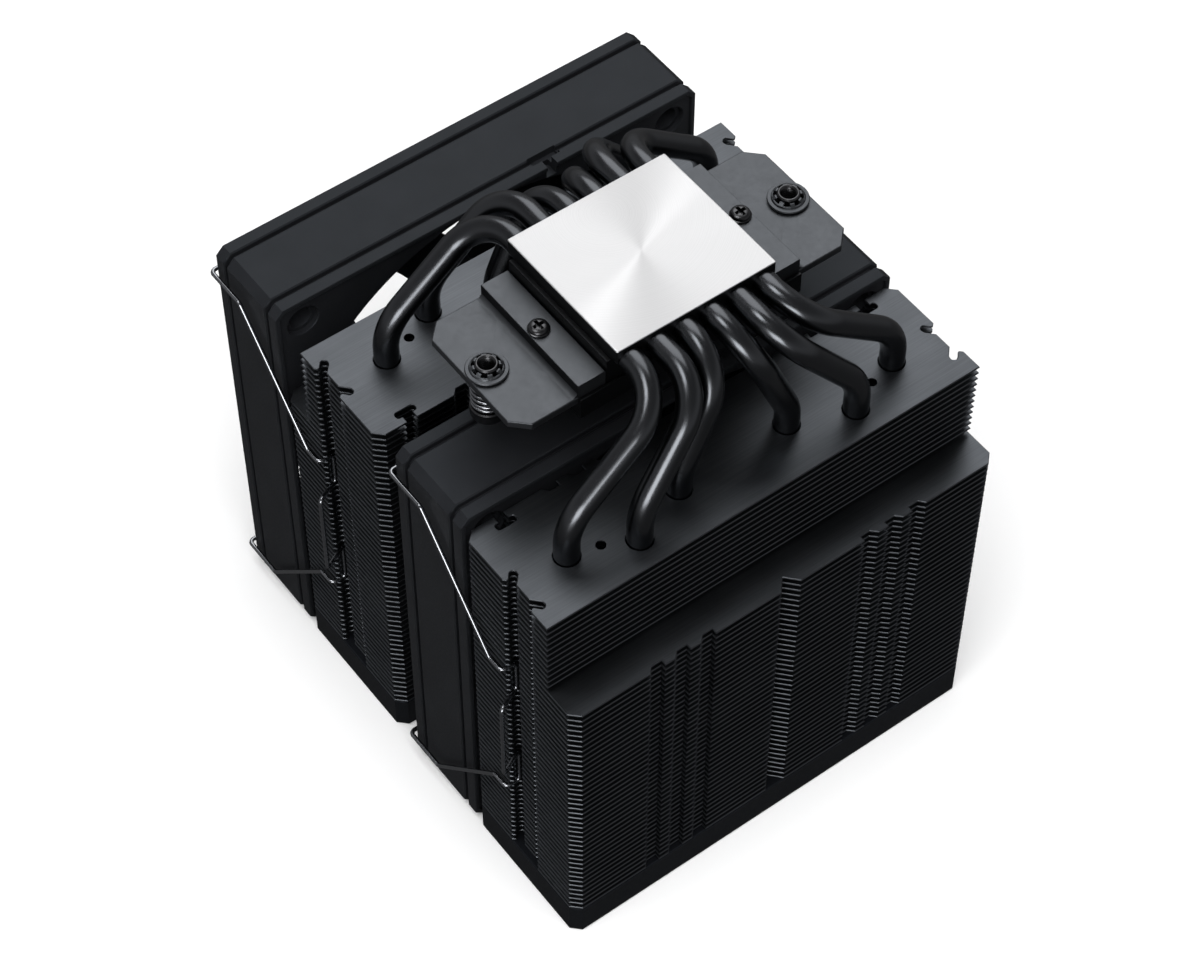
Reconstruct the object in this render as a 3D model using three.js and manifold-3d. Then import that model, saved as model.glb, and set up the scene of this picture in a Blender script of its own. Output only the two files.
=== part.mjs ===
// A dual-tower CPU cooler: two fin towers on six heat pipes, a base with its mounting brackets,
// and two 120 mm fans held by wire clips. It stands upside down on its two tower covers, with the
// cold plate facing up (+Z). X runs across the fans and +Y points at the air inlet. Millimetres.
import * as THREE from 'three';
import { mergeVertices } from 'three/addons/utils/BufferGeometryUtils.js';
import Module from 'manifold-3d';

const wasm = await Module();
wasm.setup();

// Clearance between pieces that touch, how deep a joined shape reaches into its neighbour, and
// how far a cutting shape runs past the face it cuts.
const GAP = 0.3;
const JOIN_DEPTH = 0.5;
const CUT_PAST = 1;

// Fans. A fan is drawn along its own +Z, from the air inlet at 0 to the outlet at FAN_DEPTH.
const FAN_SIZE = 120;
const FAN_DEPTH = 25;
const FAN_HOLE_SPACING = 105;
const FAN_HOLE_RADIUS = 2.25;
const FAN_CORNER_CUT = 2.1;
const FAN_DUCT_RADIUS = 58;
const FLANGE_DEPTH = 3.4;
const GROOVE_WIDTH = 1.2;
const GROOVE_DEPTH = 0.8;
const FAN_TOWER_GAP = 0.5;
const CABLE_SLOT_X = 17.6;
const CABLE_SLOT_WIDTH = 2.4;
const CABLE_SLOT_DEPTH = 4;
const HUB_RADIUS = 20;
const HUB_WALL = 2;
const HUB_START = 1.5;
const HUB_END = 19;
const BLADE_COUNT = 9;
const BLADE_TIP_RADIUS = 56;
const BLADE_THICKNESS = 1.4;
const BLADE_PITCH = THREE.MathUtils.degToRad(-35);
const FIRST_BLADE = THREE.MathUtils.degToRad(23);
const BLADE_MIDDLE = 10.5;
const BLADE_ROOT_LENGTH = 13;
const BLADE_TIP_LENGTH = 21;
const BLADE_ROOT_DEPTH = 1.4;
const MOTOR_PLATE_START = 22.5;
const MOTOR_PLATE_END = 24.7;
const STRUT_COUNT = 4;
const STRUT_WIDTH = 5;
const SHAFT_RADIUS = 1.5;
const SHAFT_END = 21.6;
const BEARING_RADIUS = 2.8;
const BEARING_BORE_RADIUS = 1.7;
const BEARING_START = 8.5;
const BEARING_END = 20.5;
const TUBE_RADIUS = 4.3;
const TUBE_START = 8;
const MAGNET_INNER_RADIUS = 15.9;
const MAGNET_START = 5;
const MAGNET_END = 18;
const STATOR_START = 9;
const STATOR_END = 17;
const STATOR_CORE_RADIUS = 7;
const STATOR_POLES = 4;
const STATOR_ARM_WIDTH = 3;
const STATOR_SHOE_WIDTH = 11;
const STATOR_SHOE_DEPTH = 1.6;
const STATOR_RADIUS = 14.6;
const BOARD_RADIUS = 16.5;
const BOARD_START = 19.8;
const BOARD_THICKNESS = 1.4;

// Fin towers.
const TOWER_WIDTH = 120;
const TOWER_INNER_Y = 16.3;
const TOWER_DEPTH = 40;
const NARROW_FIN_DEPTH = 30.7;
const FIN_CORNER_CUT = 2.3;
const FIN_THICKNESS = 0.5;
const FIN_PITCH = 8;
const FIN_TOP_Z = 116.4;
const NARROW_FINS = 3;
const WIDE_FINS = 11;
const COLLAR_WALL = 0.6;
const COLLAR_SIDES = 6;
const COVER_HEIGHT = 9.7;
const COVER_WALL = 1.5;
const CLIP_NOTCH_Y = 36.2;
const CLIP_NOTCH_HALF_LENGTH = 6.6;
const CLIP_NOTCH_DEPTH = 3.7;

// Base.
const PLATE_TOP_Z = 153.3;
const PLATE_WIDTH = 42.8;
const PLATE_LENGTH = 39.6;
const PIPE_RADIUS = 3;
const PIPE_Z = 149.2;
const BLOCK_HALF_WIDTH = 22.5;
const BLOCK_FOOT_HALF_WIDTH = 30;
const BLOCK_FOOT_Z = 136.3;
const BRACKET_LENGTH = 35.4;
const BRACKET_STEP_X = 30;
const BRACKET_END_X = 45.8;
const BRACKET_LOW_Z = 140.6;
const BRACKET_WING_Z = 142.6;
const BRACKET_TOP_Z = 146.3;
const BRACKET_CORNER_CUT = 3.8;
const BRACKET_SCREW_X = 27.4;
const BRACKET_SCREW_HEAD_RADIUS = 2.3;
const BRACKET_SCREW_HEAD_HEIGHT = 1.6;
const BRACKET_SCREW_RADIUS = 1.4;
const BRACKET_SCREW_RECESS = { length: 2.6, width: 0.6, depth: 1 };
const BRACKET_SCREW_SEAT = 0.05;

// Spring screws.
const SCREW_X = 41.1;
const SCREW_TOP_Z = 145.1;
const SCREW_HEAD_Z = 131.8;
const SCREW_HEAD_HEIGHT = 3.6;
const SCREW_HEAD_RADIUS = 4.2;
const BARREL_RADIUS = 2.6;
const THREAD_RADIUS = 1.75;
const THREAD_DEPTH = 10;
const SCREW_RECESS = { length: 4.4, width: 1, depth: 2 };
const RING_RADIUS = 4.75;
const RING_THICKNESS = 0.7;
const SPRING_RADIUS = 3.5;
const SPRING_WIRE_RADIUS = 0.4;
const SPRING_TURNS = 5;

// Wire clips.
const WIRE_RADIUS = 0.55;
const WIRE_STAND_OFF = 0.8;
const WIRE_BEND_RADIUS = 1.2;
const CLIP_HOOK_DEPTH = 1.8;
const CLIP_SIDE_CLEARANCE = 1.3;
const CLIP_SIDE_RUN = 11.2;
const CLIP_SLOT_INSET = 2.8;
const CLIP_SLOT_BEHIND_FAN = 15.15;
const CLIP_SLOT_OUTER_HEIGHT = 24;
const CLIP_SLOT_INNER_HEIGHT = 13;
const CLIP_SLOT_LEAD = 4.4;
const CLIP_TAB = { clearance: 3.7, behindSlot: 3.4, height: 14 };

// Heat pipes, listed from the middle outwards. A pipe leaves the base at baseX, turns down
// near turnY, leans out to the fins at (finX, finY) and straightens up near turnZ.
const PIPE_KINDS = [
  { baseX: 3.6, turnY: 33.6, finX: 15, finY: 34, turnZ: 122.4 },
  { baseX: 10.8, turnY: 35.9, finX: 30, finY: 39.8, turnZ: 126.1 },
  { baseX: 18, turnY: 33.1, finX: 45.2, finY: 34, turnZ: 127 },
];
const PIPE_END_Z = 4;
const PIPE_BASE_BEND = 11.6;
const PIPE_FIN_BEND = 14;

// Worked out from the driving dimensions.
const TOWER_OUTER_Y = TOWER_INNER_Y + TOWER_DEPTH;
const INTAKE_FAN_INLET_Y = TOWER_OUTER_Y + FAN_TOWER_GAP + FAN_DEPTH;
const MIDDLE_FAN_INLET_Y = -TOWER_INNER_Y + FAN_TOWER_GAP + FAN_DEPTH;
const FRONT_Y = INTAKE_FAN_INLET_Y + WIRE_STAND_OFF + WIRE_RADIUS;
const CENTRE_Y = (FRONT_Y - TOWER_OUTER_Y) / 2;
const BLOCK_TOP_Z = PIPE_Z - GAP;

const MATERIALS = {
  fin: new THREE.MeshStandardMaterial({ color: '#3c3f44', roughness: 0.42, metalness: 0.85 }),
  pipe: new THREE.MeshStandardMaterial({ color: '#17181b', roughness: 0.25, metalness: 0.8 }),
  plate: new THREE.MeshStandardMaterial({ color: '#e9eaec', roughness: 0.25, metalness: 1 }),
  bracket: new THREE.MeshStandardMaterial({ color: '#55585d', roughness: 0.5, metalness: 0.6 }),
  block: new THREE.MeshStandardMaterial({ color: '#0e0f11', roughness: 0.45, metalness: 0.6 }),
  plastic: new THREE.MeshStandardMaterial({ color: '#232529', roughness: 0.6, metalness: 0 }),
  rotor: new THREE.MeshStandardMaterial({ color: '#1b1c1f', roughness: 0.45, metalness: 0 }),
  steel: new THREE.MeshStandardMaterial({ color: '#a9acb0', roughness: 0.25, metalness: 1 }),
  blackSteel: new THREE.MeshStandardMaterial({ color: '#1a1b1d', roughness: 0.35, metalness: 0.9 }),
  bronze: new THREE.MeshStandardMaterial({ color: '#9a7440', roughness: 0.4, metalness: 0.9 }),
  magnet: new THREE.MeshStandardMaterial({ color: '#3a3533', roughness: 0.7, metalness: 0.1 }),
  winding: new THREE.MeshStandardMaterial({ color: '#a8622f', roughness: 0.35, metalness: 0.9 }),
  board: new THREE.MeshStandardMaterial({ color: '#1d5a34', roughness: 0.5, metalness: 0 }),
};

const cooler = new THREE.Group();
cooler.position.y = -CENTRE_Y;

// Shapes and solids ------------------------------------------------------------------------

function polygon(points) {
  return new THREE.Shape(points.map(([x, y]) => new THREE.Vector2(x, y)));
}

function roundPoints(radius, sides) {
  return Array.from({ length: sides }, (_, index) => {
    const angle = (2 * Math.PI * (index + 0.5)) / sides;
    return [radius * Math.cos(angle), radius * Math.sin(angle)];
  });
}

function cutCornerPoints(halfX, halfY, cut) {
  return [
    [halfX, -halfY + cut], [halfX, halfY - cut], [halfX - cut, halfY], [-halfX + cut, halfY],
    [-halfX, halfY - cut], [-halfX, -halfY + cut], [-halfX + cut, -halfY], [halfX - cut, -halfY],
  ];
}

function extrude(points, fromZ, toZ, holes = []) {
  const shape = polygon(points);
  shape.holes = holes.map(polygon);
  const geometry = new THREE.ExtrudeGeometry(shape, { depth: toZ - fromZ, bevelEnabled: false });
  return geometry.translate(0, 0, fromZ);
}

function disc(radius, sides, fromZ, toZ) {
  return extrude(roundPoints(radius, sides), fromZ, toZ);
}

function ring(outerRadius, innerRadius, sides, fromZ, toZ) {
  return extrude(roundPoints(outerRadius, sides), fromZ, toZ, [roundPoints(innerRadius, sides)]);
}

function box(sizeX, sizeY, sizeZ, x, y, z) {
  return new THREE.BoxGeometry(sizeX, sizeY, sizeZ).translate(x, y, z);
}

// The two crossed slots of a screw's recess, cut to its depth below a face at faceZ.
function crossRecess({ length, width, depth }, faceZ) {
  return [box(length, width, 2 * depth, 0, 0, faceZ), box(width, length, 2 * depth, 0, 0, faceZ)];
}

function toSolid(geometry) {
  const bare = geometry.clone();
  bare.deleteAttribute('normal');
  bare.deleteAttribute('uv');
  const merged = mergeVertices(bare);
  return new wasm.Manifold(new wasm.Mesh({
    numProp: 3,
    vertProperties: new Float32Array(merged.attributes.position.array),
    triVerts: new Uint32Array(merged.index.array),
  }));
}

function toGeometry(solid) {
  const mesh = solid.getMesh();
  const geometry = new THREE.BufferGeometry();
  geometry.setAttribute('position', new THREE.BufferAttribute(mesh.vertProperties, 3));
  geometry.setIndex(new THREE.BufferAttribute(mesh.triVerts, 1));
  const faceted = geometry.toNonIndexed();
  faceted.computeVertexNormals();
  return faceted;
}

function join(geometries) {
  return geometries.map(toSolid).reduce((whole, solid) => whole.add(solid));
}

function cut(solid, geometries) {
  return geometries.map(toSolid).reduce((whole, cutter) => whole.subtract(cutter), solid);
}

// Paths ------------------------------------------------------------------------------------

// A path through stations. Equal steps land on the stations, so a straight run is one step.
class StationPath extends THREE.Curve {
  constructor(stations) {
    super();
    this.stations = stations;
  }

  getPointAt(t, target = new THREE.Vector3()) {
    return target.copy(this.stations[Math.round(t * (this.stations.length - 1))]);
  }

  getTangentAt(t, target = new THREE.Vector3()) {
    const last = this.stations.length - 1;
    const index = Math.round(t * last);
    const before = this.stations[Math.max(index - 1, 0)];
    const after = this.stations[Math.min(index + 1, last)];
    return target.subVectors(after, before).normalize();
  }
}

// Stations along straight runs between corners, with each corner bent to its radius.
function bentStations(corners, radii, stepsPerBend) {
  const stations = [corners[0]];
  for (let i = 1; i < corners.length - 1; i += 1) {
    const radius = radii[i - 1];
    const back = corners[i - 1].clone().sub(corners[i]).normalize();
    const ahead = corners[i + 1].clone().sub(corners[i]).normalize();
    const halfAngle = back.angleTo(ahead) / 2;
    const centre = back.clone().add(ahead).setLength(radius / Math.sin(halfAngle)).add(corners[i]);
    const start = back.clone().multiplyScalar(radius / Math.tan(halfAngle)).add(corners[i]);
    const axis = ahead.clone().cross(back).normalize();
    const turn = Math.PI - 2 * halfAngle;
    for (let step = 0; step <= stepsPerBend; step += 1) {
      const spoke = start.clone().sub(centre);
      stations.push(spoke.applyAxisAngle(axis, (turn * step) / stepsPerBend).add(centre));
    }
  }
  stations.push(corners[corners.length - 1]);
  return stations;
}

function sweep(stations, radius, sides) {
  return new THREE.ExtrudeGeometry(polygon(roundPoints(radius, sides)), {
    steps: stations.length - 1,
    bevelEnabled: false,
    extrudePath: new StationPath(stations),
  });
}

function helixStations(radius, fromZ, toZ, turns, stepsPerTurn) {
  const count = turns * stepsPerTurn;
  return Array.from({ length: count + 1 }, (_, index) => {
    const angle = (2 * Math.PI * index) / stepsPerTurn;
    const z = THREE.MathUtils.lerp(fromZ, toZ, index / count);
    return new THREE.Vector3(radius * Math.cos(angle), radius * Math.sin(angle), z);
  });
}

// Adding pieces ----------------------------------------------------------------------------

function addPiece(parent, name, geometry, material) {
  const mesh = new THREE.Mesh(geometry, material);
  mesh.name = name;
  parent.add(mesh);
  return mesh;
}

// Heat pipes and base ----------------------------------------------------------------------

function pipeStations(kind, side) {
  const corner = (x, y, z) => new THREE.Vector3(side * x, y, z);
  const corners = [
    corner(kind.finX, -kind.finY, PIPE_END_Z),
    corner(kind.finX, -kind.finY, kind.turnZ),
    corner(kind.baseX, -kind.turnY, PIPE_Z),
    corner(kind.baseX, kind.turnY, PIPE_Z),
    corner(kind.finX, kind.finY, kind.turnZ),
    corner(kind.finX, kind.finY, PIPE_END_Z),
  ];
  return bentStations(corners, [PIPE_FIN_BEND, PIPE_BASE_BEND, PIPE_BASE_BEND, PIPE_FIN_BEND], 4);
}

function addHeatPipes() {
  const outwards = PIPE_KINDS.map((kind) => ({ kind, side: 1 }));
  const inwards = PIPE_KINDS.map((kind) => ({ kind, side: -1 })).reverse();
  [...inwards, ...outwards].forEach(({ kind, side }, index) => {
    const geometry = sweep(pipeStations(kind, side), PIPE_RADIUS, 8);
    addPiece(cooler, `heat_pipe_${index + 1}`, geometry, MATERIALS.pipe);
  });
}

function pipeGrooves() {
  const xs = PIPE_KINDS.flatMap((kind) => [-kind.baseX, kind.baseX]);
  return xs.map((x) => {
    const groove = disc(PIPE_RADIUS + GAP, 8, -PLATE_LENGTH, PLATE_LENGTH);
    return groove.rotateX(Math.PI / 2).translate(x, 0, PIPE_Z);
  });
}

function addBase() {
  const plateHeight = PLATE_TOP_Z - PIPE_Z;
  const plate = box(PLATE_WIDTH, PLATE_LENGTH, plateHeight, 0, 0, PIPE_Z + plateHeight / 2);
  const coldPlate = cut(toSolid(plate), pipeGrooves());
  addPiece(cooler, 'cold_plate', toGeometry(coldPlate), MATERIALS.plate);

  const footTop = BRACKET_LOW_Z - GAP;
  const profile = [
    [-BLOCK_FOOT_HALF_WIDTH, BLOCK_FOOT_Z], [BLOCK_FOOT_HALF_WIDTH, BLOCK_FOOT_Z],
    [BLOCK_FOOT_HALF_WIDTH, footTop], [BLOCK_HALF_WIDTH, footTop],
    [BLOCK_HALF_WIDTH, BLOCK_TOP_Z], [-BLOCK_HALF_WIDTH, BLOCK_TOP_Z],
    [-BLOCK_HALF_WIDTH, footTop], [-BLOCK_FOOT_HALF_WIDTH, footTop],
  ];
  const block = extrude(profile, -BRACKET_LENGTH / 2, BRACKET_LENGTH / 2).rotateX(Math.PI / 2);
  const screwHoles = [-1, 1].map((side) => (
    disc(BRACKET_SCREW_RADIUS + GAP, 8, BLOCK_FOOT_Z - CUT_PAST, footTop + CUT_PAST)
      .translate(side * BRACKET_SCREW_X, 0, 0)));
  const baseBlock = cut(toSolid(block), [...pipeGrooves(), ...screwHoles]);
  addPiece(cooler, 'base_block', toGeometry(baseBlock), MATERIALS.block);
}

function bracketGeometry(side) {
  const innerX = BLOCK_HALF_WIDTH + GAP;
  const halfLength = BRACKET_LENGTH / 2;
  const wing = [
    [innerX, -halfLength], [BRACKET_END_X - BRACKET_CORNER_CUT, -halfLength],
    [BRACKET_END_X, -halfLength + BRACKET_CORNER_CUT], [BRACKET_END_X, halfLength - BRACKET_CORNER_CUT],
    [BRACKET_END_X - BRACKET_CORNER_CUT, halfLength], [innerX, halfLength],
  ];
  const strip = [
    [innerX, -halfLength], [BRACKET_STEP_X, -halfLength],
    [BRACKET_STEP_X, halfLength], [innerX, halfLength],
  ];
  const step = extrude(strip, BRACKET_LOW_Z, BRACKET_TOP_Z);
  const hole = (radius, x) => (
    disc(radius, 12, BRACKET_LOW_Z - CUT_PAST, BRACKET_TOP_Z + CUT_PAST).translate(x, 0, 0));
  const holes = [hole(BARREL_RADIUS + GAP, SCREW_X), hole(BRACKET_SCREW_RADIUS + GAP, BRACKET_SCREW_X)];
  const bracket = cut(join([extrude(wing, BRACKET_LOW_Z, BRACKET_WING_Z), step]), holes);
  return toGeometry(side > 0 ? bracket : bracket.rotate([0, 0, 180]));
}

function bracketScrewGeometry() {
  const headBottom = BRACKET_TOP_Z + BRACKET_SCREW_SEAT;
  const headTop = headBottom + BRACKET_SCREW_HEAD_HEIGHT;
  const head = disc(BRACKET_SCREW_HEAD_RADIUS, 16, headBottom, headTop);
  const shank = disc(BRACKET_SCREW_RADIUS, 8, BLOCK_FOOT_Z + GAP, headBottom + JOIN_DEPTH);
  return toGeometry(cut(join([head, shank]), crossRecess(BRACKET_SCREW_RECESS, headTop)));
}

function springScrewGeometry() {
  const headBottom = SCREW_HEAD_Z - SCREW_HEAD_HEIGHT;
  const head = disc(SCREW_HEAD_RADIUS, 16, headBottom, SCREW_HEAD_Z);
  const barrel = disc(BARREL_RADIUS, 12, SCREW_HEAD_Z - JOIN_DEPTH, SCREW_TOP_Z);
  const thread = disc(THREAD_RADIUS, 8, SCREW_TOP_Z - THREAD_DEPTH, SCREW_TOP_Z + CUT_PAST);
  const recess = crossRecess(SCREW_RECESS, headBottom);
  return toGeometry(cut(join([head, barrel]), [thread, ...recess]));
}

function addMountingSide(side, label) {
  const ringZ = BRACKET_WING_Z + GAP;
  const springTop = BRACKET_LOW_Z - GAP - SPRING_WIRE_RADIUS;
  const springBottom = SCREW_HEAD_Z + GAP + SPRING_WIRE_RADIUS;
  const coil = helixStations(SPRING_RADIUS, springBottom, springTop, SPRING_TURNS, 8);
  addPiece(cooler, `bracket_${label}`, bracketGeometry(side), MATERIALS.bracket);
  const fixing = addPiece(cooler, `bracket_screw_${label}`, bracketScrewGeometry(), MATERIALS.blackSteel);
  fixing.position.x = side * BRACKET_SCREW_X;
  const screw = new THREE.Group();
  screw.position.x = side * SCREW_X;
  cooler.add(screw);
  const retainer = ring(RING_RADIUS, BARREL_RADIUS + GAP, 16, ringZ, ringZ + RING_THICKNESS);
  addPiece(screw, `spring_screw_${label}`, springScrewGeometry(), MATERIALS.blackSteel);
  addPiece(screw, `retaining_ring_${label}`, retainer, MATERIALS.bracket);
  addPiece(screw, `spring_${label}`, sweep(coil, SPRING_WIRE_RADIUS, 5), MATERIALS.steel);
}

// Fin towers -------------------------------------------------------------------------------

// A fin's outline, drawn for the tower on the +Y side: inner edge low, outer edge high.
function finPoints(depth, outerCut) {
  const half = TOWER_WIDTH / 2;
  const inner = TOWER_INNER_Y;
  const outer = TOWER_INNER_Y + depth;
  const notchLow = CLIP_NOTCH_Y - CLIP_NOTCH_HALF_LENGTH;
  const notchHigh = CLIP_NOTCH_Y + CLIP_NOTCH_HALF_LENGTH;
  const rightSide = [
    [half - FIN_CORNER_CUT, inner], [half, inner + FIN_CORNER_CUT],
    [half, notchLow], [half - CLIP_NOTCH_DEPTH, notchLow],
    [half - CLIP_NOTCH_DEPTH, notchHigh], [half, notchHigh],
    ...(outerCut ? [[half, outer - outerCut], [half - outerCut, outer]] : [[half, outer]]),
  ];
  const leftSide = rightSide.map(([x, y]) => [-x, y]).reverse();
  return [...rightSide, ...leftSide];
}

function pipePlaces() {
  return PIPE_KINDS.flatMap((kind) => [[-kind.finX, kind.finY], [kind.finX, kind.finY]]);
}

function finStackSolid() {
  const bore = (PIPE_RADIUS + GAP) / Math.cos(Math.PI / COLLAR_SIDES);
  const fins = Array.from({ length: NARROW_FINS + WIDE_FINS }, (_, index) => {
    const narrow = index < NARROW_FINS;
    const points = finPoints(narrow ? NARROW_FIN_DEPTH : TOWER_DEPTH, narrow ? 0 : FIN_CORNER_CUT);
    const top = FIN_TOP_Z - index * FIN_PITCH;
    return extrude(points, top - FIN_THICKNESS, top);
  });
  const lowest = FIN_TOP_Z - (NARROW_FINS + WIDE_FINS - 1) * FIN_PITCH - FIN_THICKNESS;
  const collars = pipePlaces().map(([x, y]) => (
    disc(bore + COLLAR_WALL, COLLAR_SIDES, lowest, FIN_TOP_Z).translate(x, y, 0)));
  const bores = pipePlaces().map(([x, y]) => (
    disc(bore, COLLAR_SIDES, lowest - CUT_PAST, FIN_TOP_Z + CUT_PAST).translate(x, y, 0)));
  return cut(join([...fins, ...collars]), bores);
}

function coverSolid() {
  const outline = (inset) => {
    const points = cutCornerPoints(TOWER_WIDTH / 2 - inset, TOWER_DEPTH / 2 - inset, FIN_CORNER_CUT);
    return points.map(([x, y]) => [x, y + TOWER_INNER_Y + TOWER_DEPTH / 2]);
  };
  const shell = extrude(outline(0), 0, COVER_HEIGHT);
  const hollow = extrude(outline(COVER_WALL), COVER_WALL, COVER_HEIGHT + CUT_PAST);
  return cut(toSolid(shell), [hollow]);
}

function addTowers() {
  const fins = finStackSolid();
  const cover = coverSolid();
  addPiece(cooler, 'intake_tower_fins', toGeometry(fins), MATERIALS.fin);
  addPiece(cooler, 'intake_tower_cover', toGeometry(cover), MATERIALS.plastic);
  addPiece(cooler, 'exhaust_tower_fins', toGeometry(fins.rotate([0, 0, 180])), MATERIALS.fin);
  addPiece(cooler, 'exhaust_tower_cover', toGeometry(cover.rotate([0, 0, 180])), MATERIALS.plastic);
}

// Fans -------------------------------------------------------------------------------------

function fanShell() {
  const half = FAN_SIZE / 2;
  const outline = cutCornerPoints(half, half, FAN_CORNER_CUT);
  const core = cutCornerPoints(half - GROOVE_DEPTH, half - GROOVE_DEPTH, FAN_CORNER_CUT);
  const bodyStart = FLANGE_DEPTH + GROOVE_WIDTH;
  return join([
    extrude(core, 0, FAN_DEPTH),
    extrude(outline, 0, FLANGE_DEPTH),
    extrude(outline, bodyStart, FAN_DEPTH - bodyStart),
    extrude(outline, FAN_DEPTH - FLANGE_DEPTH, FAN_DEPTH),
  ]);
}

// The motor's plate with its bearing tube, and the struts that carry it.
function motorMountPieces() {
  const strutStart = HUB_RADIUS - HUB_WALL;
  const strutLength = FAN_DUCT_RADIUS + JOIN_DEPTH - strutStart;
  const plateMiddle = (MOTOR_PLATE_START + MOTOR_PLATE_END) / 2;
  const plateDepth = MOTOR_PLATE_END - MOTOR_PLATE_START;
  const struts = Array.from({ length: STRUT_COUNT }, (_, index) => (
    box(strutLength, STRUT_WIDTH, plateDepth, strutStart + strutLength / 2, 0, plateMiddle)
      .rotateZ((Math.PI * (2 * index + 1)) / STRUT_COUNT)));
  const motorPlate = disc(HUB_RADIUS, 24, MOTOR_PLATE_START, MOTOR_PLATE_END);
  const tubeEnd = MOTOR_PLATE_START + JOIN_DEPTH;
  const tube = ring(TUBE_RADIUS, BEARING_RADIUS + GAP, 12, TUBE_START, tubeEnd);
  return [motorPlate, tube, ...struts];
}

function fanFrameGeometry() {
  const half = FAN_SIZE / 2;
  const holeAt = FAN_HOLE_SPACING / 2;
  const duct = disc(FAN_DUCT_RADIUS, 48, -CUT_PAST, FAN_DEPTH + CUT_PAST);
  const cableSlot = box(CABLE_SLOT_WIDTH, CABLE_SLOT_DEPTH, FLANGE_DEPTH * 2, CABLE_SLOT_X, half, FAN_DEPTH);
  const holes = [[-1, -1], [-1, 1], [1, -1], [1, 1]].map(([x, y]) => (
    disc(FAN_HOLE_RADIUS, 12, -CUT_PAST, FAN_DEPTH + CUT_PAST).translate(x * holeAt, y * holeAt, 0)));
  const shell = cut(fanShell(), [duct, cableSlot, ...holes]);
  return toGeometry(motorMountPieces().map(toSolid).reduce((whole, piece) => whole.add(piece), shell));
}

function rotorGeometry() {
  const inner = HUB_RADIUS - HUB_WALL;
  const profile = [
    [0, HUB_START], [HUB_RADIUS - 1, HUB_START], [HUB_RADIUS, HUB_START + 1], [HUB_RADIUS, HUB_END],
    [inner, HUB_END], [inner, HUB_START + HUB_WALL], [0, HUB_START + HUB_WALL],
  ].map(([radius, depth]) => new THREE.Vector2(radius, depth));
  const hub = new THREE.LatheGeometry(profile, 24).rotateX(Math.PI / 2);
  const rootX = HUB_RADIUS - BLADE_ROOT_DEPTH;
  const halfRoot = BLADE_ROOT_LENGTH / 2;
  const halfTip = BLADE_TIP_LENGTH / 2;
  const planform = [
    [rootX, -halfRoot], [BLADE_TIP_RADIUS, -halfTip], [BLADE_TIP_RADIUS, halfTip], [rootX, halfRoot],
  ];
  const blades = Array.from({ length: BLADE_COUNT }, (_, index) => (
    extrude(planform, -BLADE_THICKNESS / 2, BLADE_THICKNESS / 2)
      .rotateX(BLADE_PITCH)
      .translate(0, 0, BLADE_MIDDLE)
      .rotateZ(FIRST_BLADE + (2 * Math.PI * index) / BLADE_COUNT)));
  return toGeometry(join([hub, ...blades]));
}

function statorGeometry() {
  const depth = STATOR_END - STATOR_START;
  const middle = (STATOR_START + STATOR_END) / 2;
  const core = ring(STATOR_CORE_RADIUS, TUBE_RADIUS + GAP, 12, STATOR_START, STATOR_END);
  const armStart = STATOR_CORE_RADIUS - JOIN_DEPTH;
  const armLength = STATOR_RADIUS - JOIN_DEPTH - armStart;
  const shoeX = STATOR_RADIUS - STATOR_SHOE_DEPTH / 2;
  const poles = Array.from({ length: STATOR_POLES }, (_, index) => {
    const arm = box(armLength, STATOR_ARM_WIDTH, depth, armStart + armLength / 2, 0, middle);
    const shoe = box(STATOR_SHOE_DEPTH, STATOR_SHOE_WIDTH, depth, shoeX, 0, middle);
    return [arm, shoe].map((piece) => piece.rotateZ((Math.PI * 2 * index) / STATOR_POLES));
  });
  return toGeometry(join([core, ...poles.flat()]));
}

function addFan(label, inletY) {
  const fan = new THREE.Group();
  fan.position.set(0, inletY, FAN_SIZE / 2);
  fan.rotation.x = Math.PI / 2;
  cooler.add(fan);
  const shaftStart = HUB_START + HUB_WALL + GAP;
  const magnetRadius = HUB_RADIUS - HUB_WALL - GAP;
  const shaft = disc(SHAFT_RADIUS, 12, shaftStart, SHAFT_END);
  const magnet = ring(magnetRadius, MAGNET_INNER_RADIUS, 24, MAGNET_START, MAGNET_END);
  const bearing = ring(BEARING_RADIUS, BEARING_BORE_RADIUS, 12, BEARING_START, BEARING_END);
  const board = ring(BOARD_RADIUS, TUBE_RADIUS + GAP, 16, BOARD_START, BOARD_START + BOARD_THICKNESS);
  addPiece(fan, `${label}_frame`, fanFrameGeometry(), MATERIALS.plastic);
  addPiece(fan, `${label}_rotor`, rotorGeometry(), MATERIALS.rotor);
  addPiece(fan, `${label}_shaft`, shaft, MATERIALS.steel);
  addPiece(fan, `${label}_magnet_ring`, magnet, MATERIALS.magnet);
  addPiece(fan, `${label}_bearing`, bearing, MATERIALS.bronze);
  addPiece(fan, `${label}_stator`, statorGeometry(), MATERIALS.winding);
  addPiece(fan, `${label}_circuit_board`, board, MATERIALS.board);
}

// Wire clips -------------------------------------------------------------------------------

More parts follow.
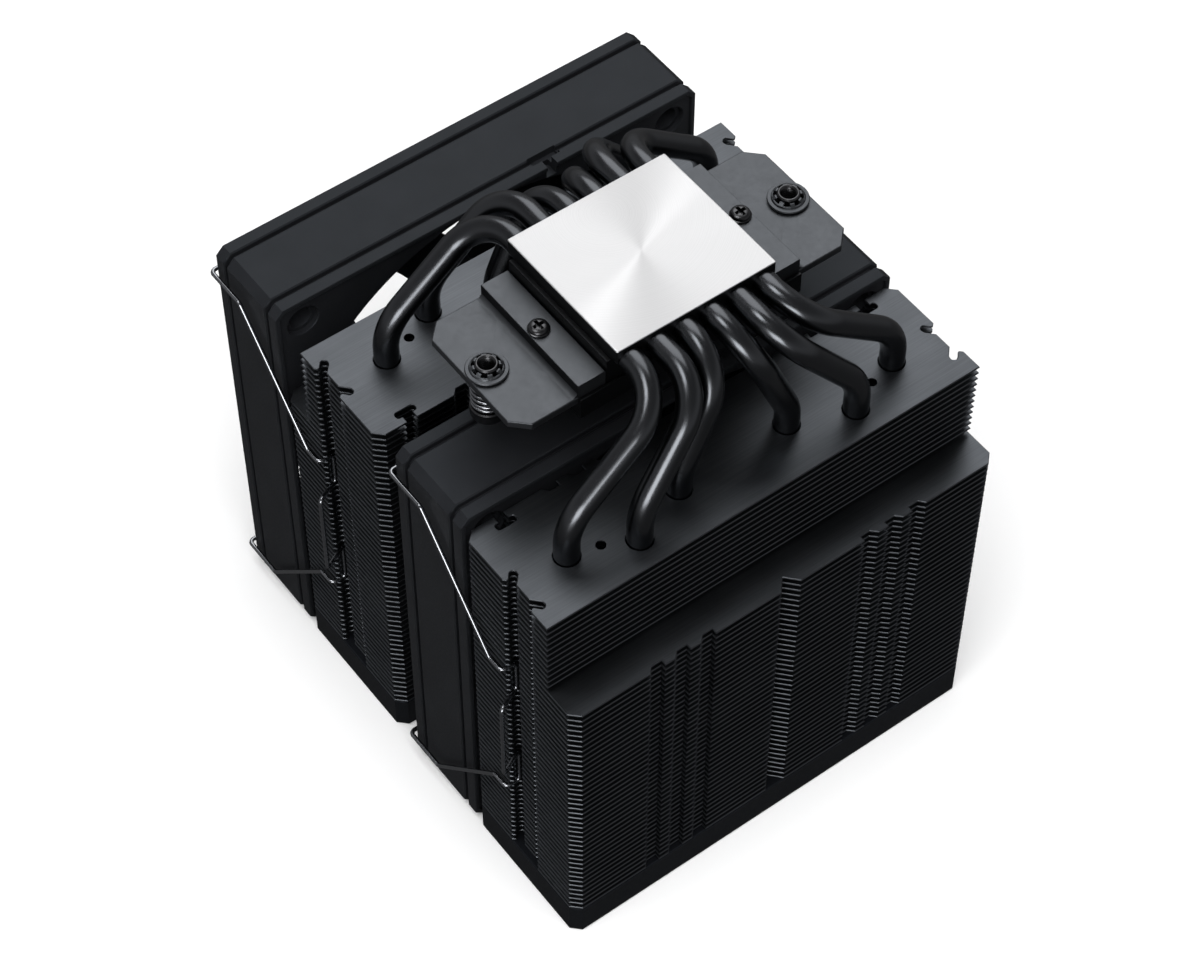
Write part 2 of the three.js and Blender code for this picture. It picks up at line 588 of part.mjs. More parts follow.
// Half of a clip, from the hook in the fan's corner hole to the pull tab at mid height. Each
// corner is [distance from the middle plane in X, distance behind the fan inlet, height].
function clipHalfCorners() {
  const hookX = FAN_HOLE_SPACING / 2;
  const sideX = TOWER_WIDTH / 2 + CLIP_SIDE_CLEARANCE;
  const slotX = TOWER_WIDTH / 2 - CLIP_SLOT_INSET;
  const slotBack = FAN_DEPTH + CLIP_SLOT_BEHIND_FAN;
  return [
    [hookX, CLIP_HOOK_DEPTH, hookX],
    [hookX, -WIRE_STAND_OFF, hookX],
    [sideX, -WIRE_STAND_OFF, hookX],
    [sideX, CLIP_SIDE_RUN, hookX],
    [sideX, slotBack - CLIP_SLOT_LEAD, CLIP_SLOT_OUTER_HEIGHT],
    [sideX, slotBack, CLIP_SLOT_OUTER_HEIGHT],
    [slotX, slotBack, CLIP_SLOT_OUTER_HEIGHT],
    [slotX, slotBack, CLIP_SLOT_INNER_HEIGHT],
    [TOWER_WIDTH / 2 + CLIP_TAB.clearance, slotBack + CLIP_TAB.behindSlot, CLIP_TAB.height],
  ];
}

function addClip(name, inletY, side) {
  const half = clipHalfCorners();
  const mirrored = half.map(([x, back, height]) => [x, back, -height]).reverse();
  const corners = [...half, ...mirrored].map(([x, back, height]) => (
    new THREE.Vector3(side * x, inletY - back, FAN_SIZE / 2 + height)));
  const radii = corners.slice(2).map(() => WIRE_BEND_RADIUS);
  const geometry = sweep(bentStations(corners, radii, 1), WIRE_RADIUS, 6);
  addPiece(cooler, name, geometry, MATERIALS.steel);
}

addBase();
addHeatPipes();
addMountingSide(-1, 'left');
addMountingSide(1, 'right');
addTowers();
addFan('intake_fan', INTAKE_FAN_INLET_Y);
addFan('middle_fan', MIDDLE_FAN_INLET_Y);
addClip('intake_clip_left', INTAKE_FAN_INLET_Y, -1);
addClip('intake_clip_right', INTAKE_FAN_INLET_Y, 1);
addClip('middle_clip_left', MIDDLE_FAN_INLET_Y, -1);
addClip('middle_clip_right', MIDDLE_FAN_INLET_Y, 1);

export default cooler;
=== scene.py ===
"""A dual-tower CPU cooler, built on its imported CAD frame: the looks of every visible piece.

Shapes are drawn in millimetres in cooler coordinates: the origin is under the middle of the cold
plate, on the plane that the two tower covers stand on. +X runs across the fans and +Y points at the
air inlet. Fan parts are drawn along the fan's own +Z, from its inlet to its outlet.
"""
import math

import bpy
import numpy as np
from mathutils import Matrix, Vector
from mathutils.geometry import delaunay_2d_cdt


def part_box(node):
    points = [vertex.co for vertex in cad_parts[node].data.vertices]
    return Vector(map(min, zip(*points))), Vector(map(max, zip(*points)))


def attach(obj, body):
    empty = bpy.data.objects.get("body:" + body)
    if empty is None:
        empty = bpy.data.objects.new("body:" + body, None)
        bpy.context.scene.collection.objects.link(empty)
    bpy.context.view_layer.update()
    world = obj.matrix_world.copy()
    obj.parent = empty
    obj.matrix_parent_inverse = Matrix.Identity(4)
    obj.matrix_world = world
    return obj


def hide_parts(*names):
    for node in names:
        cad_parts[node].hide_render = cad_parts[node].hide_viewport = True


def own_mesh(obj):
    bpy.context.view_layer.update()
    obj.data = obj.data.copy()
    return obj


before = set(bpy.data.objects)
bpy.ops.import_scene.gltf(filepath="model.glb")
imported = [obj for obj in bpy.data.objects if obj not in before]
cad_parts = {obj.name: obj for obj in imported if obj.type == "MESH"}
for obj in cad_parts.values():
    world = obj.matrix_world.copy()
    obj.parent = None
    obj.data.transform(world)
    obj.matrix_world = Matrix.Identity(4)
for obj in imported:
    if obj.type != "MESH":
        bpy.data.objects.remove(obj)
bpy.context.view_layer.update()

MM = 0.001

# Camera.
CAMERA_AZIMUTH = -36.882
CAMERA_ELEVATION = 52.545
CAMERA_ROLL = 0.211
CAMERA_DISTANCE = 0.75152
CAMERA_TARGET = (-0.00622, -0.00721, 0.07045)
CAMERA_LENS = 95.62
CAMERA_SENSOR = 36.0


def new_object(name, data):
    item = bpy.data.objects.new(name, data)
    bpy.context.scene.collection.objects.link(item)
    return item


def direction(azimuth, elevation):
    """Towards a place around the cooler. Azimuth 0 is in front, at -Y, and 90 is at +X."""
    azimuth, elevation = math.radians(azimuth), math.radians(elevation)
    level = math.cos(elevation)
    return Vector((math.sin(azimuth) * level, -math.cos(azimuth) * level, math.sin(elevation)))


def make_camera():
    back = direction(CAMERA_AZIMUTH, CAMERA_ELEVATION)
    right = Vector((-back.y, back.x, 0)).normalized()
    turn = Matrix((right, back.cross(right), back)).transposed().to_4x4()
    turn = turn @ Matrix.Rotation(math.radians(CAMERA_ROLL), 4, "Z")
    data = bpy.data.cameras.new("camera")
    data.lens = CAMERA_LENS
    data.sensor_width = CAMERA_SENSOR
    data.clip_start, data.clip_end = 0.01, 100
    camera = new_object("camera", data)
    place = Vector(CAMERA_TARGET) + back * CAMERA_DISTANCE
    camera.matrix_world = Matrix.Translation(place) @ turn
    bpy.context.scene.camera = camera


make_camera()

# Places taken from the frame --------------

base_low, base_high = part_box("base_block")
BASE_Y = (base_low.y + base_high.y) / 2
COOLER = Matrix.Translation((0, BASE_Y, 0)) @ Matrix.Scale(MM, 4)
TURNED_COOLER = COOLER @ Matrix.Rotation(math.pi, 4, "Z")


def span(*nodes):
    """Lowest and highest corner of CAD nodes, in cooler coordinates."""
    corners = [(corner - Vector((0, BASE_Y, 0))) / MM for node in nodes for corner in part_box(node)]
    return Vector(map(min, *corners)), Vector(map(max, *corners))


fins_low, fins_high = span("intake_tower_fins")
plate_low, plate_high = span("cold_plate")
block_low, block_high = span("base_block")
bracket_low, bracket_high = span("bracket_right")
screw_low, screw_high = span("spring_screw_right")
ring_low, ring_high = span("retaining_ring_right")
spring_low, spring_high = span("spring_right")
fixing_low, fixing_high = span("bracket_screw_right")
fan_low, fan_high = span("intake_fan_frame")

TOWER_HALF_WIDTH = fins_high.x
TOWER_INNER_Y = fins_low.y
TOWER_OUTER_Y = fins_high.y
FIN_TOP_Z = fins_high.z
COVER_HEIGHT = span("intake_tower_cover")[1].z
FAN_HALF = fan_high.x
FAN_DEPTH = fan_high.y - fan_low.y
INLET_Y = {"intake": fan_high.y, "middle": span("middle_fan_frame")[1].y}
FAN_Z = FAN_HALF
SCREW_X = (screw_low.x + screw_high.x) / 2
FIXING_X = (fixing_low.x + fixing_high.x) / 2
SIDES = {"left": -1, "right": 1}

# Outlines ---------------------------------


def circle(radius, count=32, centre=(0, 0)):
    angles = [2 * math.pi * i / count for i in range(count)]
    return [(centre[0] + radius * math.cos(a), centre[1] + radius * math.sin(a)) for a in angles]


def rectangle(low_x, low_y, high_x, high_y):
    return [(low_x, low_y), (high_x, low_y), (high_x, high_y), (low_x, high_y)]


def cut_corners(half_x, half_y, cut):
    """A rectangle about the origin with each corner cut off at 45 degrees."""
    return [
        (half_x, -half_y + cut), (half_x, half_y - cut), (half_x - cut, half_y),
        (-half_x + cut, half_y), (-half_x, half_y - cut), (-half_x, -half_y + cut),
        (-half_x + cut, -half_y), (half_x - cut, -half_y),
    ]  # fmt: skip


def round_corners(points, radius, steps=4):
    """The outline with each corner rounded. A corner may carry its own radius as a third number."""
    outline = []
    for before, corner, after in zip(points[-1:] + points[:-1], points, points[1:] + points[:1]):
        own = corner[2] if len(corner) > 2 else radius
        here = Vector(corner[:2])
        back = (Vector(before[:2]) - here).normalized()
        ahead = (Vector(after[:2]) - here).normalized()
        half = back.angle(ahead) / 2
        if own < 1e-6 or half > math.radians(88):
            outline.append(tuple(here))
            continue
        centre = here + (back + ahead).normalized() * (own / math.sin(half))
        start = here + back * (own / math.tan(half)) - centre
        turn = math.copysign(math.pi - 2 * half, -back.cross(ahead))
        for step in range(steps + 1):
            outline.append(tuple(centre + Matrix.Rotation(turn * step / steps, 2) @ start))
    return outline


def inset(outline, distance):
    """The anticlockwise outline moved inwards by distance."""
    points = np.array([point[:2] for point in outline], float)

    def left_normals(edges):
        edges = edges / np.linalg.norm(edges, axis=1, keepdims=True)
        return np.stack([-edges[:, 1], edges[:, 0]], axis=1)

    before = left_normals(points - np.roll(points, 1, axis=0))
    after = left_normals(np.roll(points, -1, axis=0) - points)
    share = 1 + (before * after).sum(axis=1, keepdims=True)
    return [tuple(point) for point in points + distance * (before + after) / share]


def rounded_levels(outline, low, high, radius, steps=3):
    """Levels of a straight-sided solid with its bottom and top edges rounded."""
    edge = []
    for step in range(steps + 1):
        angle = math.pi / 2 * step / steps
        edge.append((radius * (1 - math.cos(angle)), inset(outline, radius * (1 - math.sin(angle)))))
    return [(low + rise, ring) for rise, ring in edge] + [
        (high - rise, ring) for rise, ring in reversed(edge)
    ]


def bent_path(corners, radii, steps):
    """Points along straight runs between corners, with each corner bent to its radius."""
    corners = [Vector(corner) for corner in corners]
    path = [corners[0]]
    for before, corner, after, radius in zip(corners, corners[1:], corners[2:], radii):
        back = (before - corner).normalized()
        ahead = (after - corner).normalized()
        half = back.angle(ahead) / 2
        centre = corner + (back + ahead).normalized() * (radius / math.sin(half))
        start = corner + back * (radius / math.tan(half)) - centre
        axis = ahead.cross(back).normalized()
        for step in range(steps + 1):
            turn = Matrix.Rotation((math.pi - 2 * half) * step / steps, 3, axis)
            path.append(centre + turn @ start)
    return path + [corners[-1]]


# Meshes -----------------------------------


def inside(points, ring):
    """Which points lie inside a ring of corners."""
    x, y = points[:, :1], points[:, 1:]
    start, end = ring, np.roll(ring, -1, axis=0)
    crosses = (start[:, 1] > y) != (end[:, 1] > y)
    rise = np.where(end[:, 1] == start[:, 1], 1, end[:, 1] - start[:, 1])
    reach = start[:, 0] + (y - start[:, 1]) * (end[:, 0] - start[:, 0]) / rise
    return (crosses & (x < reach)).sum(axis=1) % 2 == 1


class Shell:
    """The corners and faces of closed shapes that will make one mesh."""

    def __init__(self):
        self.corners = []
        self.faces = []

    def ring(self, points):
        start = len(self.corners)
        self.corners.extend(tuple(point) for point in points)
        return list(range(start, len(self.corners)))

    def bridge(self, low, high):
        for i, here in enumerate(low):
            after = (i + 1) % len(low)
            self.faces.append((here, low[after], high[after], high[i]))

    def cap(self, rings, up):
        """Closes a level face, with holes, between rings of corners."""
        indices = [index for ring in rings for index in ring]
        flat = [Vector(self.corners[index][:2]) for index in indices]
        edges, start = [], 0
        for ring in rings:
            edges += [(start + i, start + (i + 1) % len(ring)) for i in range(len(ring))]
            start += len(ring)
        _, _, triangles, sources, _, _ = delaunay_2d_cdt(flat, edges, [], 1, 1e-7)
        faces = np.array([[indices[sources[corner][0]] for corner in face] for face in triangles])
        spots = np.array(self.corners)[faces][:, :, :2]
        solid = np.ones(len(faces), bool)
        for ring in rings[1:]:
            solid &= ~inside(spots.mean(axis=1), np.array([self.corners[i][:2] for i in ring]))
        one, other = spots[:, 1] - spots[:, 0], spots[:, 2] - spots[:, 0]
        rises = one[:, 0] * other[:, 1] > one[:, 1] * other[:, 0]
        faces[rises != up] = faces[rises != up][:, ::-1]
        self.faces.extend(tuple(int(corner) for corner in face) for face in faces[solid])

    def stack(self, outer, holes=()):
        """A solid raised through levels of (z, outline), with holes right through it. All outlines
        run anticlockwise."""
        bottoms, tops = [], []
        for levels, way in [(outer, 1)] + [(hole, -1) for hole in holes]:
            rings = [self.ring([(x, y, z) for x, y in outline[::way]]) for z, outline in levels]
            for low, high in zip(rings, rings[1:]):
                self.bridge(low, high)
            bottoms.append(rings[0])
            tops.append(rings[-1])
        self.cap(bottoms, up=False)
        self.cap(tops, up=True)
        return self

    def lathe(self, profile, count=48, centre=(0, 0)):
        """Turns a profile of (radius, z) about Z. It runs up the outside, so from the bottom of the
        axis to its top, or anticlockwise round a ring's section."""
        rings = [
            self.ring([(x, y, z) for x, y in circle(radius, count, centre)]) if radius > 0 else [z]
            for radius, z in profile
        ]
        closed = all(len(ring) > 1 for ring in rings)
        pairs = list(zip(rings, rings[1:])) + ([(rings[-1], rings[0])] if closed else [])
        for low, high in pairs:
            if len(low) > 1 and len(high) > 1:
                self.bridge(low, high)
            elif len(high) > 1 or len(low) > 1:
                ring, pole = (high, low[0]) if len(high) > 1 else (low, high[0])
                tip = self.ring([(centre[0], centre[1], pole)])[0]
                for i, here in enumerate(ring):
                    pair = (here, ring[(i + 1) % len(ring)])
                    self.faces.append((tip, *(reversed(pair) if ring is high else pair)))
        return self

    def sweep(self, path, radius, sides, round_ends=True):
        """A round bar along a path of points."""
        path = [Vector(point) for point in path]
        radii = [radius] * len(path)
        if round_ends:
            first = (path[0] - path[1]).normalized() * radius
            last = (path[-1] - path[-2]).normalized() * radius
            angles = [math.pi / 2 * share for share in (0.9, 0.6, 0.3)]
            start = [path[0] + first * math.sin(a) for a in angles]
            end = [path[-1] + last * math.sin(a) for a in reversed(angles)]
            shrunk = [radius * math.cos(a) for a in angles]
            path, radii = start + path + end, shrunk + radii + shrunk[::-1]
        tangents = [
            (path[min(i + 1, len(path) - 1)] - path[max(i - 1, 0)]).normalized()
            for i in range(len(path))
        ]
        normal = tangents[0].orthogonal().normalized()
        rings = []
        for point, tangent, size in zip(path, tangents, radii):
            normal = (normal - tangent * normal.dot(tangent)).normalized()
            side = tangent.cross(normal)
            section = [normal * (size * c) + side * (size * s) for c, s in circle(1, sides)]
            rings.append([point + spoke for spoke in section])
        return self.loft(rings)

    def loft(self, rings_of_points):
        """A closed bar through rings of points, each ring anticlockwise seen from the far end."""
        rings = [self.ring(points) for points in rings_of_points]
        for low, high in zip(rings, rings[1:]):
            self.bridge(low, high)
        self.faces.append(tuple(reversed(rings[0])))
        self.faces.append(tuple(rings[-1]))
        return self

    def add(self, other, rise=0):
        """Adds a copy of another shell, raised along Z."""
        start = len(self.corners)
        self.corners.extend((x, y, z + rise) for x, y, z in other.corners)
        self.faces.extend(tuple(corner + start for corner in face) for face in other.faces)
        return self

    def placed(self, turn):
        """This shell with every corner moved by a matrix."""
        moved = Shell()
        moved.corners = [tuple(turn @ Vector(corner)) for corner in self.corners]
        flips = turn.to_3x3().determinant() < 0
        moved.faces = [tuple(reversed(face)) if flips else face for face in self.faces]
        return moved

    def mesh(self, name):
        mesh = bpy.data.meshes.new(name)
        mesh.from_pydata(self.corners, [], self.faces)
        mesh.update()
        return mesh


def box_shell(low, high, radius=0.2):
    outline = rectangle(low[0], low[1], high[0], high[1])
    return Shell().stack(rounded_levels(outline, low[2], high[2], radius, 2))


def combine(first, others, operation):
    """The mesh of a shape joined with or cut by the others. Operation is UNION or DIFFERENCE."""
    solids = []
    for shape in (first, *others):
        mesh = shape if isinstance(shape, bpy.types.Mesh) else shape.mesh("solid")
        solids.append(new_object("solid", mesh))
    target, *tools = solids
    for tool in tools:
        modifier = target.modifiers.new("boolean", "BOOLEAN")
        modifier.operation, modifier.solver, modifier.object = operation, "EXACT", tool
    bpy.context.view_layer.update()
    evaluated = target.evaluated_get(bpy.context.evaluated_depsgraph_get())
    mesh = bpy.data.meshes.new_from_object(evaluated)
    for solid in solids:
        bpy.data.objects.remove(solid)
    return mesh


def add_piece(name, shape, materials, body, nodes, place=COOLER, smooth=32):
    """Makes a visible piece: its mesh goes to its place in metres, rides on a body and stands for
    CAD nodes."""
    mesh = shape if isinstance(shape, bpy.types.Mesh) else shape.mesh(name)
    mesh.name = name
    mesh.transform(place)
    mesh.polygons.foreach_set("use_smooth", [True] * len(mesh.polygons))
    mesh.set_sharp_from_angle(angle=math.radians(smooth))
    mesh.materials.clear()
    for material in materials if isinstance(materials, list) else [materials]:
        mesh.materials.append(material)
    piece = new_object(name, mesh)
    normals = piece.modifiers.new("normals", "WEIGHTED_NORMAL")
    normals.keep_sharp = True
    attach(piece, body)
    if nodes:
        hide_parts(*nodes)
    return piece


# Materials --------------------------------

# The sockets of a Mix node that mixes colours.
MIX_SHARE, MIX_DARK, MIX_LIGHT, MIX_RESULT = 0, 6, 7, 2


class Paint:
    """A procedural material: one Principled shader and the textures that vary it."""

    def __init__(self, name, colour, metallic, roughness, **uniform):
        self.material = bpy.data.materials.new(name)
        self.material.use_nodes = True
        self.tree = self.material.node_tree
        self.shader = self.tree.nodes["Principled BSDF"]
        self.colour = colour
        self.roughness = roughness
        self.shader.inputs["Base Color"].default_value = (*colour, 1)
        self.shader.inputs["Metallic"].default_value = metallic
        self.shader.inputs["Roughness"].default_value = roughness
        for socket, value in uniform.items():
            self.shader.inputs[socket.replace("_", " ")].default_value = value
        self.coordinates = self.node("ShaderNodeTexCoord").outputs["Object"]

    def node(self, kind, **values):
        node = self.tree.nodes.new(kind)
        for key, value in values.items():
            setattr(node, key, value)
        return node

    def link(self, source, target):
        self.tree.links.new(source, target)

    def noise(self, scale, detail=4, roughness=0.5):
        """Noise with its own number of cells to a metre along X, Y and Z."""
        mapping = self.node("ShaderNodeMapping")
        mapping.inputs["Scale"].default_value = scale if isinstance(scale, tuple) else (scale,) * 3
        self.link(self.coordinates, mapping.inputs["Vector"])
        noise = self.node("ShaderNodeTexNoise")
        noise.inputs["Scale"].default_value = 1
        noise.inputs["Detail"].default_value = detail
        noise.inputs["Roughness"].default_value = roughness
        self.link(mapping.outputs["Vector"], noise.inputs["Vector"])
        return noise.outputs["Fac"]

    def scaled(self, value, low, high, start=0.3, end=0.7):
        """The value, which runs from start to end, brought to run from low to high."""
        node = self.node("ShaderNodeMapRange")
        limits = {"From Min": start, "From Max": end, "To Min": low, "To Max": high}
        for socket, number in limits.items():
            node.inputs[socket].default_value = number
        self.link(value, node.inputs["Value"])
        return node.outputs["Result"]

    def vary_colour(self, value, dark, light):
        """The colour goes from dark to light times itself as the value goes from low to high."""
        mix = self.node("ShaderNodeMix", data_type="RGBA")
        for socket, share in ((MIX_DARK, dark), (MIX_LIGHT, light)):
            colour = [min(channel * share, 1) for channel in self.colour]
            mix.inputs[socket].default_value = (*colour, 1)
        self.link(self.scaled(value, 0, 1), mix.inputs[MIX_SHARE])
        self.link(mix.outputs[MIX_RESULT], self.shader.inputs["Base Color"])
        return self

    def vary_roughness(self, value, spread):
        result = self.scaled(value, self.roughness - spread, self.roughness + spread)
        self.link(result, self.shader.inputs["Roughness"])
        return self

    def bump(self, value, depth, strength=0.5):
        """Relief of the given depth in metres. Calls add up."""
        bump = self.node("ShaderNodeBump")
        bump.inputs["Strength"].default_value = strength
        bump.inputs["Distance"].default_value = depth
        self.link(value, bump.inputs["Height"])
        before = self.shader.inputs["Normal"].links
        if before:
            self.link(before[0].from_socket, bump.inputs["Normal"])
        self.link(bump.outputs["Normal"], self.shader.inputs["Normal"])
        return self


def fin_paint():
    """Black anodised aluminium, brushed along X."""
    paint = Paint("brushed_black_aluminium", (0.101, 0.108, 0.118), 1.0, 0.42)
    grain = paint.noise((60, 3400, 3400), 5, 0.65)
    paint.vary_colour(grain, 0.86, 1.11)
    paint.vary_roughness(paint.noise(60), 0.04)
    return paint.bump(grain, 0.00003, 0.35).material


def pipe_paint():
    paint = Paint("black_nickel_pipe", (0.088, 0.092, 0.099), 1.0, 0.25)
    paint.vary_colour(paint.noise(60), 0.94, 1.06)
    paint.vary_roughness(paint.noise(300), 0.015)
    return paint.bump(paint.noise(1200, 1), 0.000002, 0.05).material


def plastic_paint(name, colour, roughness, gloss):
    """Black plastic with a fine grain. Its gloss is a little blue."""
    tint = (0.86, 1.0, 1.12, 1)
    paint = Paint(name, colour, 0.0, roughness, Specular_IOR_Level=gloss, Specular_Tint=tint)
    paint.vary_colour(paint.noise(120), 0.9, 1.1)
    paint.vary_roughness(paint.noise(1500), 0.03)
    return paint.bump(paint.noise(5200, 2), 0.00003, 0.35).material


def bracket_paint():
    paint = Paint("grey_black_bracket", (0.102, 0.108, 0.117), 1.0, 0.45)
    paint.vary_colour(paint.noise(160), 0.94, 1.06)
    paint.vary_roughness(paint.noise(900), 0.03)
    return paint.bump(paint.noise(6500, 3), 0.00002, 0.35).material


def block_paint():
    paint = Paint("satin_black_block", (0.03, 0.031, 0.033), 1.0, 0.42)
    paint.vary_colour(paint.noise(200), 0.85, 1.15)
    return paint.bump(paint.noise((400, 4000, 4000), 3), 0.00001, 0.1).material


def black_steel_paint():
    paint = Paint("black_zinc_steel", (0.085, 0.086, 0.09), 1.0, 0.3)
    paint.vary_colour(paint.noise(900), 0.8, 1.2)
    return paint.bump(paint.noise(7000, 2), 0.00001, 0.3).material


def wire_paint():
    paint = Paint("bright_drawn_steel", (0.32, 0.33, 0.35), 1.0, 0.2)
    paint.vary_colour(paint.noise(1200), 0.85, 1.1)
    return paint.bump(paint.noise((3000, 3000, 300), 2), 0.00001, 0.3).material


def plate_paint():
    """Nickel-plated copper, turned: fine rings round the middle of the plate."""
    turned = {"Anisotropic": 0.92, "Anisotropic_Rotation": 0.25}
    paint = Paint("turned_nickel", (0.6, 0.6, 0.605), 1.0, 0.36, **turned)
    tangent = paint.node("ShaderNodeTangent", direction_type="RADIAL", axis="Z")
    paint.link(tangent.outputs["Tangent"], paint.shader.inputs["Tangent"])
    flat = paint.node("ShaderNodeVectorMath", operation="MULTIPLY")
    flat.inputs[1].default_value = (1, 1, 0)
    paint.link(paint.coordinates, flat.inputs[0])
    length = paint.node("ShaderNodeVectorMath", operation="LENGTH")
    paint.link(flat.outputs["Vector"], length.inputs[0])
    rings = paint.node("ShaderNodeTexNoise", noise_dimensions="1D")
    rings.inputs["Scale"].default_value = 6000
    rings.inputs["Detail"].default_value = 3
    paint.link(length.outputs["Value"], rings.inputs["W"])
    paint.vary_colour(rings.outputs["Fac"], 0.95, 1.04)
    return paint.bump(rings.outputs["Fac"], 0.000006, 0.2).material


def inner_paint(name, colour, metallic, roughness, cells):
    paint = Paint(name, colour, metallic, roughness)
    paint.vary_colour(paint.noise(cells), 0.75, 1.2)
    return paint.bump(paint.noise(cells * 4, 2), 0.00003, 0.4).material


FIN = fin_paint()
PIPE = pipe_paint()
PLASTIC = plastic_paint("matt_black_plastic", (0.0112, 0.0118, 0.0134), 0.42, 0.135)
COVER = plastic_paint("cover_black", (0.0048, 0.0052, 0.0064), 0.42, 0.14)
ROTOR = plastic_paint("satin_black_rotor", (0.0065, 0.007, 0.008), 0.36, 0.17)
BRACKET = bracket_paint()
BLOCK = block_paint()
BLACK_STEEL = black_steel_paint()
STEEL = wire_paint()
PLATE = plate_paint()
WINDING = inner_paint("copper_winding", (0.55, 0.26, 0.12), 1.0, 0.35, 1800)
BRONZE = inner_paint("sintered_bronze", (0.5, 0.33, 0.16), 1.0, 0.45, 2500)
MAGNET = inner_paint("bonded_magnet", (0.06, 0.055, 0.053), 0.3, 0.6, 1500)
BOARD = inner_paint("green_solder_mask", (0.02, 0.12, 0.05), 0.0, 0.35, 900)

# Heat pipes -------------------------------

# From the middle outwards: where a pipe leaves the base, where it turns down, where it enters the
# fins, and the height at which it is upright again.
PIPE_KINDS = [
    {"base_x": 3.6, "turn_y": 33.6, "fin": (15.0, 34.0), "turn_z": 122.4},
    {"base_x": 10.8, "turn_y": 35.9, "fin": (30.0, 39.8), "turn_z": 126.1},
    {"base_x": 18.0, "turn_y": 33.1, "fin": (45.2, 34.0), "turn_z": 127.0},
]
PIPE_RADIUS = 3.0
PIPE_Z = plate_low.z
PIPE_END_Z = span("heat_pipe_1")[0].z
PIPE_BENDS = (14.0, 11.6, 11.6, 14.0)
PIPE_PLACES = [(side * kind["fin"][0], kind["fin"][1]) for kind in PIPE_KINDS for side in (-1, 1)]


def pipe_shell(kind, side):
    x, y = kind["fin"]
    half = [
        (side * x, y, PIPE_END_Z),
        (side * x, y, kind["turn_z"]),
        (side * kind["base_x"], kind["turn_y"], PIPE_Z),
    ]
    corners = [(x, -y, z) for x, y, z in half] + half[::-1]
    return Shell().sweep(bent_path(corners, PIPE_BENDS, 12), PIPE_RADIUS, 32)


def add_heat_pipes():
    order = [(kind, -1) for kind in reversed(PIPE_KINDS)] + [(kind, 1) for kind in PIPE_KINDS]
    for number, (kind, side) in enumerate(order, 1):
        shell = pipe_shell(kind, side)
        add_piece(f"pipe_{number}", shell, PIPE, "heatsink", [f"heat_pipe_{number}"])


# Fin towers -------------------------------

FIN_COUNT = 54
SHORT_FINS = 12
FIN_PITCH = 2.0
FIN_THICKNESS = 0.46
FIN_EDGE = 0.15
SHORT_FIN_DEPTH = 30.7
FIN_CORNER_CUT = 2.3
PIPE_HOLE_RADIUS = 3.25
# A small hole on each side, as (distance from the middle plane, y, radius).
FIN_HOLE = (37.7, 36.1, 1.25)
# Fins are drawn smooth only over flatter edges than other pieces, so that cut corners stay crisp.
FIN_SMOOTH = 25
# The wire clip's notch in a side edge: a shallow recess with a hook-shaped slot at each end.
NOTCH_MIDDLE_Y = 36.2
NOTCH_RECESS = 1.6
# Small cut-outs along an edge, as (straight side, end of the floor, slanted side).
EDGE_CUTS = [(21.1, 23.7, 25.2), (28.1, 30.8, 32.3), (35.1, 37.8, 39.1)]
EDGE_CUT_DEPTH = 1.5
EDGE_VEE_HALF = 2.8
EDGE_VEE_DEPTH = 3.1
# T-shaped slots in the inner edge.
TEE_X = 50.5
TEE_NECK_HALF = 1.3
TEE_HEAD_HALF = 2.6
TEE_NECK_DEPTH = 1.9
TEE_DEPTH = 3.7
COVER_PANEL_EDGE = 2.8
COVER_PANEL_DEPTH = 0.5
COVER_SOFT_EDGE = 0.35


def edge_cut_points(edge_y, inward):
    """Half of an edge's vee and cut-outs, from the middle outwards."""
    points = [(0, edge_y + inward * EDGE_VEE_DEPTH), (EDGE_VEE_HALF, edge_y)]
    floor = edge_y + inward * EDGE_CUT_DEPTH
    for straight, floor_end, slanted in EDGE_CUTS:
        points += [(straight, edge_y), (straight, floor), (floor_end, floor), (slanted, edge_y)]
    return points


def tee_points(edge_y):
    neck, depth = edge_y + TEE_NECK_DEPTH, edge_y + TEE_DEPTH
    low_neck, high_neck = TEE_X - TEE_NECK_HALF, TEE_X + TEE_NECK_HALF
    low_head, high_head = TEE_X - TEE_HEAD_HALF, TEE_X + TEE_HEAD_HALF
    return [
        (low_neck, edge_y), (low_neck, neck), (low_head, neck, 0.7), (low_head, depth, 0.7),
        (high_head, depth, 0.7), (high_head, neck, 0.7), (high_neck, neck), (high_neck, edge_y),
    ]  # fmt: skip


def notch_points():
    """The clip's notch going up the right-hand edge, from its lower lip to its upper one."""
    edge, recess = TOWER_HALF_WIDTH, TOWER_HALF_WIDTH - NOTCH_RECESS
    upper = [
        (recess, 2.3), (edge - 3.55, 4.4, 0.55), (edge - 3.7, 5.5, 0.7),
        (edge - 2.6, 6.25, 0.7), (edge - 0.9, 4.3, 0.5), (edge, 5.2),
    ]  # fmt: skip
    lower = [(x, -y, *rest) for x, y, *rest in reversed(upper)]
    return [(x, y + NOTCH_MIDDLE_Y, *rest) for x, y, *rest in lower + upper]


def fin_outline(depth, long_fin):
    """A fin of the tower on the +Y side."""
    inner, outer, edge = TOWER_INNER_Y, TOWER_INNER_Y + depth, TOWER_HALF_WIDTH
    half = edge_cut_points(inner, 1) + tee_points(inner)
    half += [(edge - FIN_CORNER_CUT, inner), (edge, inner + FIN_CORNER_CUT)] + notch_points()
    if long_fin:
        half += [(edge, outer - FIN_CORNER_CUT), (edge - FIN_CORNER_CUT, outer)]
        half += edge_cut_points(outer, -1)[::-1]
    else:
        half += [(edge, outer)]
    mirrored = [(-x, y, *rest) for x, y, *rest in reversed(half) if x > 0]
    return round_corners(half + mirrored, 0)


